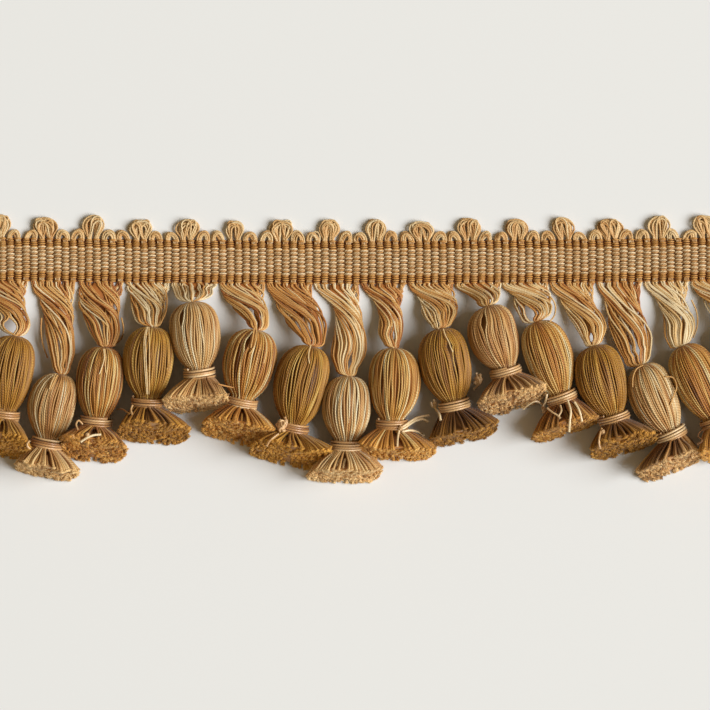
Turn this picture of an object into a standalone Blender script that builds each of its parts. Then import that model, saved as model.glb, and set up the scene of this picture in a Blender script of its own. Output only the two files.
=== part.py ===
"""Onion fringe, a cut length lying flat: a ribbed woven braid with a looped upper edge, and below it
sixteen looped yarn skeins, each holding an onion-shaped tassel with a bound neck and a cut skirt.

Run with: blender --background --python part.py
Frame: X runs along the braid, +Y from the tassels towards the looped edge, +Z up. The origin is the middle
of the braid's back, which lies on the surface. The sizes below are in millimetres.
"""

import math
from collections import namedtuple

import bmesh
import bpy
from mathutils import Vector

MM = 0.001

# The braid
REPEATS = 16
COLUMNS_PER_REPEAT = 6
COLUMN_PITCH = 2.75
BRAID_HEIGHT = 15.4
BRAID_THICKNESS = 1.5
RIB_RISE = 0.5
BRAID_BOW = 1.3
PIECE_GAP = 0.3

# The looped upper edge
LOOP_STRIP_WIDTH = 1.0
LOOP_STRIP_THICKNESS = 1.6
FOOT_WIDTH = 1.9
FIRST_LOOPED_COLUMN = 1
LOOPS_PER_REPEAT = 3
LARGE_LOOP_HEIGHT = 7.6
LARGE_LOOP_THICKNESS = 2.3
SMALL_LOOP_THICKNESS = 1.9

# The skeins
SKEIN_LOCKS = 6
SKEIN_STRIP_WIDTH = 1.0
SKEIN_ROOT_HALF = 7.9
SKEIN_PINCH_HALF = 2.0
SKEIN_PINCH_HEIGHT = 2.6
SKEIN_KNOT_LENGTH = 0.7

# The tassels
ONION_SIDES = 16
ONION_DEPTH_SHARE = 0.96
NECK_RADIUS = 4.3
TIE_WIDTH = 4.2
TIE_INNER_RADIUS = 4.8
TIE_OUTER_RADIUS = 5.5
TIE_SIDES = 12
TIE_END_GAP = 0.25
SKIRT_LOCKS = 8
LOCK_HALF_ANGLE = math.radians(19.5)
SKIRT_TOP_RISE = 11.5

# Yarn this close to the surface lies on it
REST_DEPTH = 0.6

# Each row is one onion and the skein that holds it, from left to right: where the skein's pinch meets the
# onion's tip, where the middle of the neck tie is, the onion's half width and how far it bulges to the right
# of the line between them, and the skein's half width and its drift to the right halfway down.
Drop = namedtuple("Drop", "tip_x tip_y neck_x neck_y half bulge skein_half skein_drift")
DROPS = (
    Drop(-120.0, -26.1, -124.2, -53.0, 8.6, -0.9, 7.0, 0.9),
    Drop(-104.3, -39.4, -109.2, -63.2, 8.1, -1.2, 5.4, 0.9),
    Drop(-89.2, -29.9, -92.0, -55.8, 8.1, -0.4, 6.5, 1.0),
    Drop(-72.4, -22.9, -74.2, -48.8, 8.6, -0.8, 6.3, 0.5),
    Drop(-58.4, -14.2, -56.0, -38.7, 8.6, -0.2, 6.6, -0.1),
    Drop(-36.0, -24.0, -41.3, -48.8, 8.9, -0.3, 6.4, -0.3),
    Drop(-17.1, -29.6, -23.4, -57.9, 9.0, -0.9, 7.6, 0.1),
    Drop(-3.8, -40.1, -4.9, -63.9, 8.4, -0.5, 5.3, 1.9),
    Drop(11.9, -30.3, 11.2, -56.5, 8.8, 0.5, 5.0, 0.0),
    Drop(28.0, -23.6, 32.9, -49.9, 8.8, -0.6, 6.5, 0.4),
    Drop(44.8, -15.6, 50.8, -38.3, 8.5, -1.2, 6.4, 0.5),
    Drop(61.6, -21.2, 70.3, -47.1, 8.2, 0.3, 6.7, 1.4),
    Drop(81.5, -29.6, 88.5, -54.4, 8.7, -0.6, 6.0, 0.4),
    Drop(98.3, -36.2, 108.5, -60.0, 8.1, -0.6, 6.3, 0.6),
    Drop(112.3, -29.6, 123.9, -55.1, 8.3, 0.2, 5.8, 0.6),
    Drop(130.5, -20.6, 141.2, -45.1, 8.6, -1.0, 6.3, 0.3),
)

# Each row is one cut skirt, measured from the middle of its neck tie along the tassel: the half width of its
# rim, its shift to the right, how far the rim's left, right, upper and floor sides reach, and how far its
# left and right sides are lifted to lie on the next tassel.
Skirt = namedtuple("Skirt", "half shift left right upper floor lift_left lift_right")
SKIRTS = (
    Skirt(11.1, 0.0, 13.0, 11.0, 6.5, 15.0, 0.0, 4.5),
    Skirt(10.9, 1.8, 10.4, 7.2, 8.0, 12.2, -2.0, -2.0),
    Skirt(11.3, 0.0, 7.6, 8.4, 5.5, 14.2, 4.5, -1.0),
    Skirt(12.2, 3.2, 11.8, 8.6, 6.8, 14.6, 0.0, -3.0),
    Skirt(11.1, -2.1, 9.0, 9.9, 7.7, 13.4, 4.5, 5.0),
    Skirt(12.4, 0.9, 12.0, 7.0, 6.8, 14.6, -2.0, 2.0),
    Skirt(13.6, 1.0, 11.4, 3.4, 5.8, 13.6, 0.0, 5.0),
    Skirt(12.8, 0.2, 12.1, 6.7, 8.8, 13.4, -3.0, -3.0),
    Skirt(13.2, 2.2, 6.4, 8.2, 8.6, 12.8, 4.0, 0.0),
    Skirt(12.2, 1.6, 11.0, 7.8, 9.6, 13.8, -2.0, -3.0),
    Skirt(12.0, -0.2, 8.3, 8.4, 7.0, 14.0, 4.0, 5.0),
    Skirt(11.8, -2.2, 10.4, 11.2, 9.0, 13.4, -3.0, 0.0),
    Skirt(11.5, 0.6, 10.4, 10.3, 6.8, 13.4, -1.0, 4.5),
    Skirt(11.6, -4.5, 7.4, 11.8, 7.4, 13.2, -3.0, -3.0),
    Skirt(9.6, -0.3, 8.0, 11.4, 7.7, 13.8, 3.5, -2.0),
    Skirt(11.2, 0.4, 8.4, 9.2, 8.6, 14.0, 4.0, 0.0),
)

# The onion's outline: share of the way from tip to neck, and share of the half width there
OnionStation = namedtuple("OnionStation", "along width")
ONION_OUTLINE = (
    OnionStation(0.00, 0.30),
    OnionStation(0.07, 0.65),
    OnionStation(0.22, 0.91),
    OnionStation(0.45, 1.00),
    OnionStation(0.68, 0.94),
    OnionStation(0.88, 0.72),
)

# The skirt's way from neck to rim: shares of the way along, of the rim's spread and of the fall to the
# floor, and how far from the skirt's middle a lock starts, as a share of where it ends
SkirtStation = namedtuple("SkirtStation", "along spread fall core")
SKIRT_STATIONS = (
    SkirtStation(0.36, 0.44, 0.62, 0.52),
    SkirtStation(0.70, 0.78, 1.00, 0.32),
    SkirtStation(1.00, 1.00, 1.00, 0.16),
)

# A skein's way from the braid to its pinch: shares of the way along, of the change from root width to its
# own half width, of the closing from there to the pinch, and of the rise to the pinch's height, then the
# yarn's thickness, how much higher the middle lies than the sides, and the gap between locks
SkeinStation = namedtuple("SkeinStation", "along narrowing closing lift thickness crown gap")
SKEIN_STATIONS = (
    SkeinStation(0.16, 0.20, 0.00, 0.00, 2.0, 0.3, 0.25),
    SkeinStation(0.40, 0.85, 0.00, 0.12, 2.7, 1.2, 0.35),
    SkeinStation(0.66, 1.00, 0.08, 0.45, 2.8, 1.6, 0.35),
    SkeinStation(0.88, 1.00, 0.42, 0.82, 2.7, 0.8, 0.25),
)

# Large loops, from left to right: lean to the right, height and width beside the usual one
LargeLoop = namedtuple("LargeLoop", "lean height width")
LARGE_LOOPS = (
    LargeLoop(0.4, 1.06, 1.0),
    LargeLoop(-0.8, 0.98, 1.05),
    LargeLoop(0.2, 1.10, 0.95),
    LargeLoop(0.5, 0.94, 1.0),
    LargeLoop(0.8, 0.98, 1.05),
    LargeLoop(0.5, 0.92, 0.9),
    LargeLoop(0.3, 0.97, 1.1),
    LargeLoop(0.5, 0.98, 0.9),
    LargeLoop(0.0, 1.00, 0.9),
    LargeLoop(-0.8, 0.90, 1.1),
    LargeLoop(-0.8, 1.04, 1.1),
    LargeLoop(-0.6, 1.00, 1.0),
    LargeLoop(-0.8, 1.04, 1.0),
    LargeLoop(-0.8, 0.96, 1.1),
    LargeLoop(0.3, 1.06, 0.95),
    LargeLoop(-0.8, 1.04, 0.95),
)

# Half of a loop's middle line from its foot to its crown: sideways from the loop's middle, height as a share
# of the loop's, and the lock's own width
LoopStation = namedtuple("LoopStation", "side height width")
LARGE_LOOP_LINE = (
    LoopStation(1.45, 0.28, 1.7),
    LoopStation(2.60, 0.62, 2.0),
    LoopStation(1.60, 0.84, 2.1),
)
LARGE_LOOP_CROWN = LoopStation(0.00, 0.86, 2.2)
SMALL_LOOP_HEIGHT = 3.2
SMALL_LOOP_LINE = (
    LoopStation(1.32, 0.38, 1.5),
    LoopStation(0.75, 0.70, 1.6),
)

BRAID_LENGTH = REPEATS * COLUMNS_PER_REPEAT * COLUMN_PITCH
COLUMNS = REPEATS * COLUMNS_PER_REPEAT
REPEAT_LENGTH = COLUMNS_PER_REPEAT * COLUMN_PITCH

FINISHES = {
    "braid": (0.58, 0.40, 0.20),
    "loops": (0.60, 0.40, 0.19),
    "skein": (0.58, 0.37, 0.16),
    "olive": (0.37, 0.23, 0.06),
    "pale": (0.58, 0.42, 0.25),
    "gold": (0.50, 0.31, 0.11),
    "tie": (0.60, 0.42, 0.22),
}
TASSEL_COLOURS = ("olive", "pale", "gold")
YARN_ROUGHNESS = 0.75
SHARP_ANGLE = math.radians(35)


def clear_scene():
    """Removes the objects that the file opens with."""
    for thing in list(bpy.data.objects):
        bpy.data.objects.remove(thing)


def finish_named(name):
    """A yarn material of one of the part's colours."""
    material = bpy.data.materials.get(name)
    if material is None:
        material = bpy.data.materials.new(name)
        material.use_nodes = True
        shader = material.node_tree.nodes["Principled BSDF"]
        shader.inputs["Base Color"].default_value = (*FINISHES[name], 1.0)
        shader.inputs["Roughness"].default_value = YARN_ROUGHNESS
        shader.inputs["Metallic"].default_value = 0.0
    return material


def add_piece(name, mesh_in_mm, finish):
    """Makes an object of a bmesh that is in millimetres."""
    bmesh.ops.recalc_face_normals(mesh_in_mm, faces=mesh_in_mm.faces)
    bmesh.ops.scale(mesh_in_mm, vec=Vector((MM, MM, MM)), verts=mesh_in_mm.verts)
    mesh = bpy.data.meshes.new(name)
    mesh_in_mm.to_mesh(mesh)
    mesh_in_mm.free()
    mesh.shade_smooth()
    mesh.set_sharp_from_angle(angle=SHARP_ANGLE)
    mesh.materials.append(finish_named(finish))
    piece = bpy.data.objects.new(name, mesh)
    bpy.context.scene.collection.objects.link(piece)
    return piece


def add_ring(shape, points):
    """Adds points to the mesh and returns their vertices."""
    return [shape.verts.new(point) for point in points]


def join_rings(shape, first, second):
    """Joins two closed rings of as many vertices with quads."""
    for here in range(len(first)):
        there = (here + 1) % len(first)
        shape.faces.new((first[here], first[there], second[there], second[here]))


def between(low, high, share):
    """The value or vector a share of the way from low to high."""
    return low + (high - low) * share


def braid_rise(x):
    """How far the braid's middle line lies towards +Y at x: a shallow bow, straight along each repeat."""
    left_end = -BRAID_LENGTH / 2
    repeat = min(max(math.floor((x - left_end) / REPEAT_LENGTH), 0), REPEATS - 1)
    start = left_end + repeat * REPEAT_LENGTH
    rises = [BRAID_BOW * (edge / left_end) ** 2 for edge in (start, start + REPEAT_LENGTH)]
    return between(rises[0], rises[1], (x - start) / REPEAT_LENGTH)


def column_x(column):
    """The middle of a woven column, counted from 0 at the left."""
    return -BRAID_LENGTH / 2 + (column + 0.5) * COLUMN_PITCH


def build_braid():
    """The woven band: one rib for each column of weft on its face, and a flat back."""
    shape = bmesh.new()
    half = BRAID_HEIGHT / 2
    face = []
    for step in range(2 * COLUMNS + 1):
        x = -BRAID_LENGTH / 2 + step * COLUMN_PITCH / 2
        z = BRAID_THICKNESS + (RIB_RISE if step % 2 else 0.0)
        face.append(add_ring(shape, [(x, braid_rise(x) + side * half, z) for side in (-1, 1)]))
    back = []
    for repeat in range(REPEATS + 1):
        x = -BRAID_LENGTH / 2 + repeat * REPEAT_LENGTH
        back.append(add_ring(shape, [(x, braid_rise(x) + side * half, 0.0) for side in (-1, 1)]))
    for here, there in zip(face, face[1:]):
        shape.faces.new((here[0], there[0], there[1], here[1]))
    steps = 2 * COLUMNS_PER_REPEAT
    for repeat in range(REPEATS):
        edge_points = face[repeat * steps:(repeat + 1) * steps + 1]
        for side in (0, 1):
            upper = [pair[side] for pair in edge_points]
            shape.faces.new([back[repeat][side], back[repeat + 1][side], *reversed(upper)])
    shape.faces.new([pair[0] for pair in back] + [pair[1] for pair in reversed(back)])
    for low, high in ((back[0], face[0]), (back[-1], face[-1])):
        shape.faces.new((low[0], low[1], high[1], high[0]))
    return add_piece("braid", shape, "braid")


def loop_rings(start_x, end_x, foot_y, number):
    """The sections of one loop between its feet: lists of four points, inner and outer, low and high."""
    large = number % LOOPS_PER_REPEAT == 0
    middle = (start_x + end_x) / 2
    if large:
        own = LARGE_LOOPS[number // LOOPS_PER_REPEAT]
        line, height, thickness = LARGE_LOOP_LINE, LARGE_LOOP_HEIGHT * own.height, LARGE_LOOP_THICKNESS
    else:
        own = LargeLoop(0.0, 1.0, 1.0)
        line, height, thickness = SMALL_LOOP_LINE, SMALL_LOOP_HEIGHT, SMALL_LOOP_THICKNESS
    stations = [(-1, at) for at in line]
    if large:
        stations.append((0, LARGE_LOOP_CROWN))
    stations += [(1, at) for at in reversed(line)]
    path = []
    for side, at in stations:
        wide = 1.0 + (own.width - 1.0) * at.height
        x = middle + side * at.side * wide + own.lean * at.height ** 2
        path.append(Vector((x, foot_y + at.height * height, 0.0)))
    ends = [Vector((start_x, foot_y, 0.0)), *path, Vector((end_x, foot_y, 0.0))]
    rings = []
    for spot, (_, at) in enumerate(stations):
        forward = (ends[spot + 2] - ends[spot]).normalized()
        outward = Vector((-forward.y, forward.x, 0.0)) * at.width / 2
        top = between(LOOP_STRIP_THICKNESS, thickness, min(1.0, at.height * 2))
        inner, outer = path[spot] - outward, path[spot] + outward
        rings.append([inner, outer, outer + Vector((0, 0, top)), inner + Vector((0, 0, top))])
    return rings


def build_looped_edge():
    """The loops in which the weft turns back above the braid, on a narrow strip along its upper edge."""
    shape = bmesh.new()

    def edge_y(x, across):
        return braid_rise(x) + BRAID_HEIGHT / 2 + PIECE_GAP + across

    def edge_pair(x, across):
        return add_ring(shape, [(x, edge_y(x, across), z) for z in (0.0, LOOP_STRIP_THICKNESS)])

    lower = [edge_pair(-BRAID_LENGTH / 2 + n * REPEAT_LENGTH, 0.0) for n in range(REPEATS + 1)]
    corners = [edge_pair(-BRAID_LENGTH / 2, LOOP_STRIP_WIDTH)]
    for column in range(COLUMNS):
        for side in (-1, 1):
            corners.append(edge_pair(column_x(column) + side * FOOT_WIDTH / 2, LOOP_STRIP_WIDTH))
        if (column + 1) % COLUMNS_PER_REPEAT == 0:
            corners.append(edge_pair(column_x(column) + COLUMN_PITCH / 2, LOOP_STRIP_WIDTH))
    per_repeat = 2 * COLUMNS_PER_REPEAT + 1
    for repeat in range(REPEATS):
        upper = corners[repeat * per_repeat:(repeat + 1) * per_repeat + 1]
        shape.faces.new((*lower[repeat], *reversed(lower[repeat + 1])))
        for level in (0, 1):
            along_upper = [pair[level] for pair in upper]
            shape.faces.new([lower[repeat + 1][level], lower[repeat][level], *along_upper])
    for low, high in ((lower[0], corners[0]), (lower[-1], corners[-1])):
        shape.faces.new((low[0], low[1], high[1], high[0]))

    feet = {}
    for spot, (here, there) in enumerate(zip(corners, corners[1:])):
        in_repeat = spot % per_repeat
        column = spot // per_repeat * COLUMNS_PER_REPEAT + in_repeat // 2
        looped = FIRST_LOOPED_COLUMN <= column < COLUMNS - 1
        if in_repeat % 2 == 1 and looped:
            feet[column] = (here, there)
        else:
            shape.faces.new((here[0], there[0], there[1], here[1]))
    for number, column in enumerate(range(FIRST_LOOPED_COLUMN, COLUMNS - 1, 2)):
        (left_out, left_in), (right_in, right_out) = feet[column], feet[column + 1]
        first = [left_in[0], left_out[0], left_out[1], left_in[1]]
        last = [right_in[0], right_out[0], right_out[1], right_in[1]]
        starts, ends = column_x(column), column_x(column + 1)
        foot_y = edge_y((starts + ends) / 2, LOOP_STRIP_WIDTH)
        rings = [first] + [add_ring(shape, points) for points in loop_rings(starts, ends, foot_y, number)]
        for here, there in zip(rings, rings[1:] + [last]):
            join_rings(shape, here, there)
    return add_piece("looped_edge", shape, "loops")


class Hang:
    """The lines that one tassel and its skein are set out from."""

    def __init__(self, number):
        self.number = number
        self.drop = DROPS[number]
        self.skirt = SKIRTS[number]
        self.tip = Vector((self.drop.tip_x, self.drop.tip_y, 0.0))
        self.neck = Vector((self.drop.neck_x, self.drop.neck_y, 0.0))
        self.down = (self.neck - self.tip).normalized()
        self.across = Vector((-self.down.y, self.down.x, 0.0))
        self.body_length = (self.neck - self.tip).length - TIE_WIDTH / 2
        flat = math.cos(math.pi / ONION_SIDES)
        self.axis_z = self.drop.half * ONION_DEPTH_SHARE * flat

    def place(self, along, across, z):
        """The point so far from the tip along the tassel, to its right, and above the surface."""
        spot = self.tip + self.down * along + self.across * across
        return Vector((spot.x, spot.y, z))

    def section(self, along, across, width, depth, sides):
        """A ring of points around the tassel's axis, with a flat side below."""
        points = []
        for corner in range(sides):
            angle = (corner - 0.5) * math.tau / sides
            side = across + width * math.cos(angle)
            z = self.axis_z + depth * math.sin(angle)
            points.append(self.place(along, side, z if z > REST_DEPTH else 0.0))
        return points

    def rim(self, angle):
        """A point of the skirt's rim, at an angle around the tassel from its right side upwards."""
        side, rise = math.cos(angle), math.sin(angle)
        level = between(self.skirt.left, self.skirt.right, (side + 1) / 2)
        reach = self.skirt.upper if rise > 0 else self.skirt.floor
        along = self.body_length + TIE_WIDTH / 2 + between(level, reach, rise * rise)
        half_height = (self.axis_z + SKIRT_TOP_RISE) / 2
        lift = self.skirt.lift_left if side < 0 else self.skirt.lift_right
        z = half_height * (1 + rise) + lift * side * side
        return self.place(along, self.skirt.shift + self.skirt.half * side, z if z > REST_DEPTH else 0.0)

    def rim_middle(self):
        """The middle of the skirt's rim."""
        points = [self.rim(lock * math.tau / SKIRT_LOCKS) for lock in range(SKIRT_LOCKS)]
        return sum(points, Vector()) / SKIRT_LOCKS

    def lock_edge(self, angle, start, station):
        """The inner and outer point of one edge of a skirt lock, which leaves the neck at start."""
        run = self.rim(angle) - start
        outer = start + self.down * run.dot(self.down) * station.along
        outer += self.across * run.dot(self.across) * station.spread
        outer.z += run.z * (station.fall if run.z < 0 else station.spread)
        neck_end = self.place(self.body_length + TIE_WIDTH, 0.0, self.axis_z)
        middle = between(neck_end, self.rim_middle(), station.along)
        return between(middle, outer, station.core), outer


def build_tassel(hang):
    """One hank of yarn: the onion, its bound neck, and the cut skirt as locks that part below the neck."""
    shape = bmesh.new()
    rings = []
    for station in ONION_OUTLINE:
        along = station.along * hang.body_length
        bulge = hang.drop.bulge * math.sin(math.pi * station.along)
        width = station.width * hang.drop.half
        points = hang.section(along, bulge, width, width * ONION_DEPTH_SHARE, ONION_SIDES)
        rings.append(add_ring(shape, points))
    for along in (hang.body_length, hang.body_length + TIE_WIDTH):
        points = hang.section(along, 0.0, NECK_RADIUS, NECK_RADIUS, ONION_SIDES)
        rings.append(add_ring(shape, points))
    shape.faces.new(rings[0])
    for here, there in zip(rings, rings[1:]):
        join_rings(shape, here, there)

    neck_ring = rings[-1]
    locks = []
    for lock in range(SKIRT_LOCKS):
        angle = lock * math.tau / SKIRT_LOCKS
        sections = []
        for station in SKIRT_STATIONS:
            inner_a, outer_a = hang.lock_edge(angle - LOCK_HALF_ANGLE, neck_ring[2 * lock].co, station)
            inner_b, outer_b = hang.lock_edge(angle + LOCK_HALF_ANGLE, neck_ring[2 * lock + 1].co, station)
            sections.append(add_ring(shape, (inner_a, outer_a, outer_b, inner_b)))
        locks.append(sections)
    core = []
    for lock in range(SKIRT_LOCKS):
        here, there = locks[lock][0], locks[(lock + 1) % SKIRT_LOCKS][0]
        left, right = neck_ring[2 * lock], neck_ring[2 * lock + 1]
        after = neck_ring[(2 * lock + 2) % ONION_SIDES]
        shape.faces.new((left, right, here[2], here[1]))
        shape.faces.new((right, here[3], here[2]))
        shape.faces.new((right, after, there[0], here[3]))
        shape.faces.new((after, there[1], there[0]))
        core += [here[0], here[3]]
        for first, second in zip(locks[lock], locks[lock][1:]):
            join_rings(shape, first, second)
        shape.faces.new(locks[lock][-1])
    shape.faces.new(core)
    colour = TASSEL_COLOURS[hang.number % len(TASSEL_COLOURS)]
    return add_piece(f"tassel_{hang.number + 1:02d}", shape, colour)


def build_tie(hang):
    """The thread wound round a tassel's neck, as one band."""
    shape = bmesh.new()
    start = hang.body_length + TIE_END_GAP
    end = hang.body_length + TIE_WIDTH - TIE_END_GAP
    rings = []
    for along, radius in (
        (start, TIE_INNER_RADIUS),
        (start, TIE_OUTER_RADIUS),
        (end, TIE_OUTER_RADIUS),
        (end, TIE_INNER_RADIUS),
    ):
        rings.append(add_ring(shape, hang.section(along, 0.0, radius, radius, TIE_SIDES)))
    for here, there in zip(rings, rings[1:] + rings[:1]):
        join_rings(shape, here, there)
    return add_piece(f"tie_{hang.number + 1:02d}", shape, "tie")


def add_row(shape, centre, across, half, low, height):
    """One low and one high point at each edge between a skein's locks, in a straight row."""
    shares = [2 * edge / SKEIN_LOCKS - 1 for edge in range(SKEIN_LOCKS + 1)]
    spots = [centre + across * half * share for share in shares]
    return [add_ring(shape, [(spot.x, spot.y, low), (spot.x, spot.y, low + height)]) for spot in spots]


def close_row(shape, row, centre, across, half, low, height):
    """The fused block beyond a row of edges, which ends in a straight face."""
    ends = []
    for side in (-1, 1):
        spot = centre + across * half * side
        ends.append(add_ring(shape, [(spot.x, spot.y, low), (spot.x, spot.y, low + height)]))
    left, right = ends
    shape.faces.new((left[0], right[0], right[1], left[1]))
    for level in (0, 1):
        shape.faces.new([left[level], right[level], *(pair[level] for pair in reversed(row))])
    shape.faces.new((left[0], left[1], row[0][1], row[0][0]))
    shape.faces.new((right[0], right[1], row[-1][1], row[-1][0]))


def skein_half(drop, at):
    """Half the skein's width at one station."""
    open_half = between(SKEIN_ROOT_HALF, drop.skein_half, at.narrowing)
    return between(open_half, SKEIN_PINCH_HALF, at.closing)


def build_skein(hang):
    """The looped yarn between braid and onion: locks that part below a narrow strip and close in a pinch."""
    shape = bmesh.new()
    middle_x = -BRAID_LENGTH / 2 + (hang.number + 0.5) * REPEAT_LENGTH
    along_braid = Vector((1.0, braid_rise(middle_x + 0.5) - braid_rise(middle_x - 0.5), 0.0)).normalized()
    strip = Vector((middle_x, braid_rise(middle_x) - BRAID_HEIGHT / 2 - PIECE_GAP, 0.0))
    root = strip - Vector((0.0, SKEIN_STRIP_WIDTH, 0.0))
    knot = hang.place(-PIECE_GAP - SKEIN_KNOT_LENGTH, 0.0, 0.0)
    knot_end = hang.place(-PIECE_GAP, 0.0, 0.0)
    pinch_low = hang.axis_z - SKEIN_PINCH_HEIGHT / 2
    root_block = (along_braid, SKEIN_ROOT_HALF, 0.0, LOOP_STRIP_THICKNESS)
    knot_block = (hang.across, SKEIN_PINCH_HALF, pinch_low, SKEIN_PINCH_HEIGHT)
    root_row = add_row(shape, root, *root_block)
    knot_row = add_row(shape, knot, *knot_block)
    close_row(shape, root_row, strip, *root_block)
    close_row(shape, knot_row, knot_end, *knot_block)

    for lock in range(SKEIN_LOCKS):
        rings = [[*root_row[lock], *reversed(root_row[lock + 1])]]
        for at in SKEIN_STATIONS:
            centre = between(root, knot, at.along)
            centre.x += hang.drop.skein_drift * math.sin(math.pi * at.along)
            across = between(along_braid, hang.across, at.along).normalized()
            corners = []
            for edge, inset in ((lock, at.gap / 2), (lock + 1, -at.gap / 2)):
                share = 2 * edge / SKEIN_LOCKS - 1
                spot = centre + across * (skein_half(hang.drop, at) * share + inset)
                crown = at.crown * (1 - share * share)
                low = (pinch_low + crown) * at.lift
                high = pinch_low * at.lift + crown + at.thickness
                corners.append([Vector((spot.x, spot.y, z)) for z in (low, high)])
            left, right = corners
            rings.append(add_ring(shape, (*left, *reversed(right))))
        rings.append([*knot_row[lock], *reversed(knot_row[lock + 1])])
        for here, there in zip(rings, rings[1:]):
            join_rings(shape, here, there)
    return add_piece(f"skein_{hang.number + 1:02d}", shape, "skein")


def main():
    """Builds every piece of the fringe."""
    clear_scene()
    build_braid()
    build_looped_edge()
    for number in range(REPEATS):
        hang = Hang(number)
        build_skein(hang)
        build_tassel(hang)
        build_tie(hang)


if __name__ == "__main__":
    main()
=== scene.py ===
"""Looks of the onion fringe: every yarn of the braid, the looped edge, the skeins and the tassels.

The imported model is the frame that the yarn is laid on. X runs along the braid, +Y from the tassels towards
the looped edge, and Z up from the surface that the fringe lies on. Lengths are in millimetres, except in the
finishes and for the lamp, the table and the camera's range, where they are in metres.
"""

from __future__ import annotations

import logging
import math
from collections.abc import Callable, Iterable, Sequence
from dataclasses import dataclass, field
from enum import Enum
from typing import Any

import bpy
import numpy as np
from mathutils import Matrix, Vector

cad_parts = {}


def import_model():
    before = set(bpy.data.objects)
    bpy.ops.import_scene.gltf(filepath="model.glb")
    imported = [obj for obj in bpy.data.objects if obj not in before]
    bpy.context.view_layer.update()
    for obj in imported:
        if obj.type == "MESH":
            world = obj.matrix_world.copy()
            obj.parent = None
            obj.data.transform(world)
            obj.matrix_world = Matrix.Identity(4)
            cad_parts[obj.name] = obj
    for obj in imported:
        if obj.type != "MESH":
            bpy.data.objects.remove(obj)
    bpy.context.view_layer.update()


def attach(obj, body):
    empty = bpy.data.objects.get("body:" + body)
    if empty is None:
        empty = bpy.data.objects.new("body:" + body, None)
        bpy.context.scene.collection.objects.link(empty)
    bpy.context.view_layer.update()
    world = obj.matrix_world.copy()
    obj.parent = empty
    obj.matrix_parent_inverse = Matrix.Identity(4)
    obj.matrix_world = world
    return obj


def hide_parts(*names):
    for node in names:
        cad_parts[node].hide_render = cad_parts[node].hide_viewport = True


Pair = tuple[float, float]
Floats = tuple[float, ...]
Chip = tuple[int, int, int]

MM = 0.001
REPEATS = 16
COLUMNS_PER_REPEAT = 6
COLUMN_PITCH = 2.75
COLUMNS = REPEATS * COLUMNS_PER_REPEAT
REPEAT_LENGTH = COLUMNS_PER_REPEAT * COLUMN_PITCH
BRAID_LENGTH = COLUMNS * COLUMN_PITCH
BRAID_HEIGHT = 15.4
BRAID_BOW = 1.3
TABLE_GAP = 0.01
TIE_WIDTH = 4.2
ROOT_BODY = "root"
TABLE_CORNERS = ((-1, -1), (1, -1), (1, 1), (-1, 1))

log = logging.getLogger("onion_fringe")


class Part(Enum):
    """What a point of a raw yarn mesh belongs to."""

    STRAND = 0
    HEART = 1
    TUFT = 2


class Shade(Enum):
    """The colours that the tassels repeat in, from left to right."""

    OLIVE = "olive"
    PALE = "pale"
    GOLD = "gold"


@dataclass(frozen=True)
class Drop:
    """Where one onion lies: its tip, its neck, its half width and how far it bulges to the side."""

    tip_x: float
    tip_y: float
    neck_x: float
    neck_y: float
    half: float
    bulge: float


@dataclass(frozen=True)
class Skirt:
    """One cut skirt's rim, measured from the middle of its tie along the tassel."""

    half: float
    shift: float
    left: float
    right: float
    upper: float
    floor: float
    lift_left: float
    lift_right: float


@dataclass(frozen=True)
class LargeLoop:
    """One large loop: its lean to the right, height and width beside the usual one."""

    lean: float
    height: float
    width: float


DROPS = (
    Drop(-120.0, -26.1, -124.2, -53.0, 8.6, -0.9),
    Drop(-104.3, -39.4, -109.2, -63.2, 8.1, -1.2),
    Drop(-89.2, -29.9, -92.0, -55.8, 8.1, -0.4),
    Drop(-72.4, -22.9, -74.2, -48.8, 8.6, -0.8),
    Drop(-58.4, -14.2, -56.0, -38.7, 8.6, -0.2),
    Drop(-36.0, -24.0, -41.3, -48.8, 8.9, -0.3),
    Drop(-17.1, -29.6, -23.4, -57.9, 9.0, -0.9),
    Drop(-3.8, -40.1, -4.9, -63.9, 8.4, -0.5),
    Drop(11.9, -30.3, 11.2, -56.5, 8.8, 0.5),
    Drop(28.0, -23.6, 32.9, -49.9, 8.8, -0.6),
    Drop(44.8, -15.6, 50.8, -38.3, 8.5, -1.2),
    Drop(61.6, -21.2, 70.3, -47.1, 8.2, 0.3),
    Drop(81.5, -29.6, 88.5, -54.4, 8.7, -0.6),
    Drop(98.3, -36.2, 108.5, -60.0, 8.1, -0.6),
    Drop(112.3, -29.6, 123.9, -55.1, 8.3, 0.2),
    Drop(130.5, -20.6, 141.2, -45.1, 8.6, -1.0),
)

# How much lighter or darker each onion, skirt, skein and tie is than its colour is elsewhere.
ONION_TONES = (
    0.0, -0.08, -0.16, 0.1, -0.05, 0.0, 0.05, 0.0,
    0.08, 0.02, -0.2, 0.03, 0.0, 0.0, 0.02, 0.0,
)
SKIRT_TONES = (
    0.0, -0.16, -0.22, -0.24, -0.2, -0.1, -0.02, -0.06,
    -0.04, -0.42, -0.38, -0.28, -0.28, -0.42, 0.0, 0.0,
)
SKEIN_TONES = (
    -0.1, -0.04, -0.26, 0.2, 0.42, -0.12, -0.16, 0.18,
    -0.18, 0.03, 0.12, 0.08, 0.06, -0.05, 0.28, 0.0,
)
TIE_TONES = (
    -0.06, -0.36, 0.0, -0.3, -0.06, 0.1, -0.28, -0.05,
    -0.28, 0.0, 0.16, 0.06, 0.07, 0.14, 0.0, 0.0,
)

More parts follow.
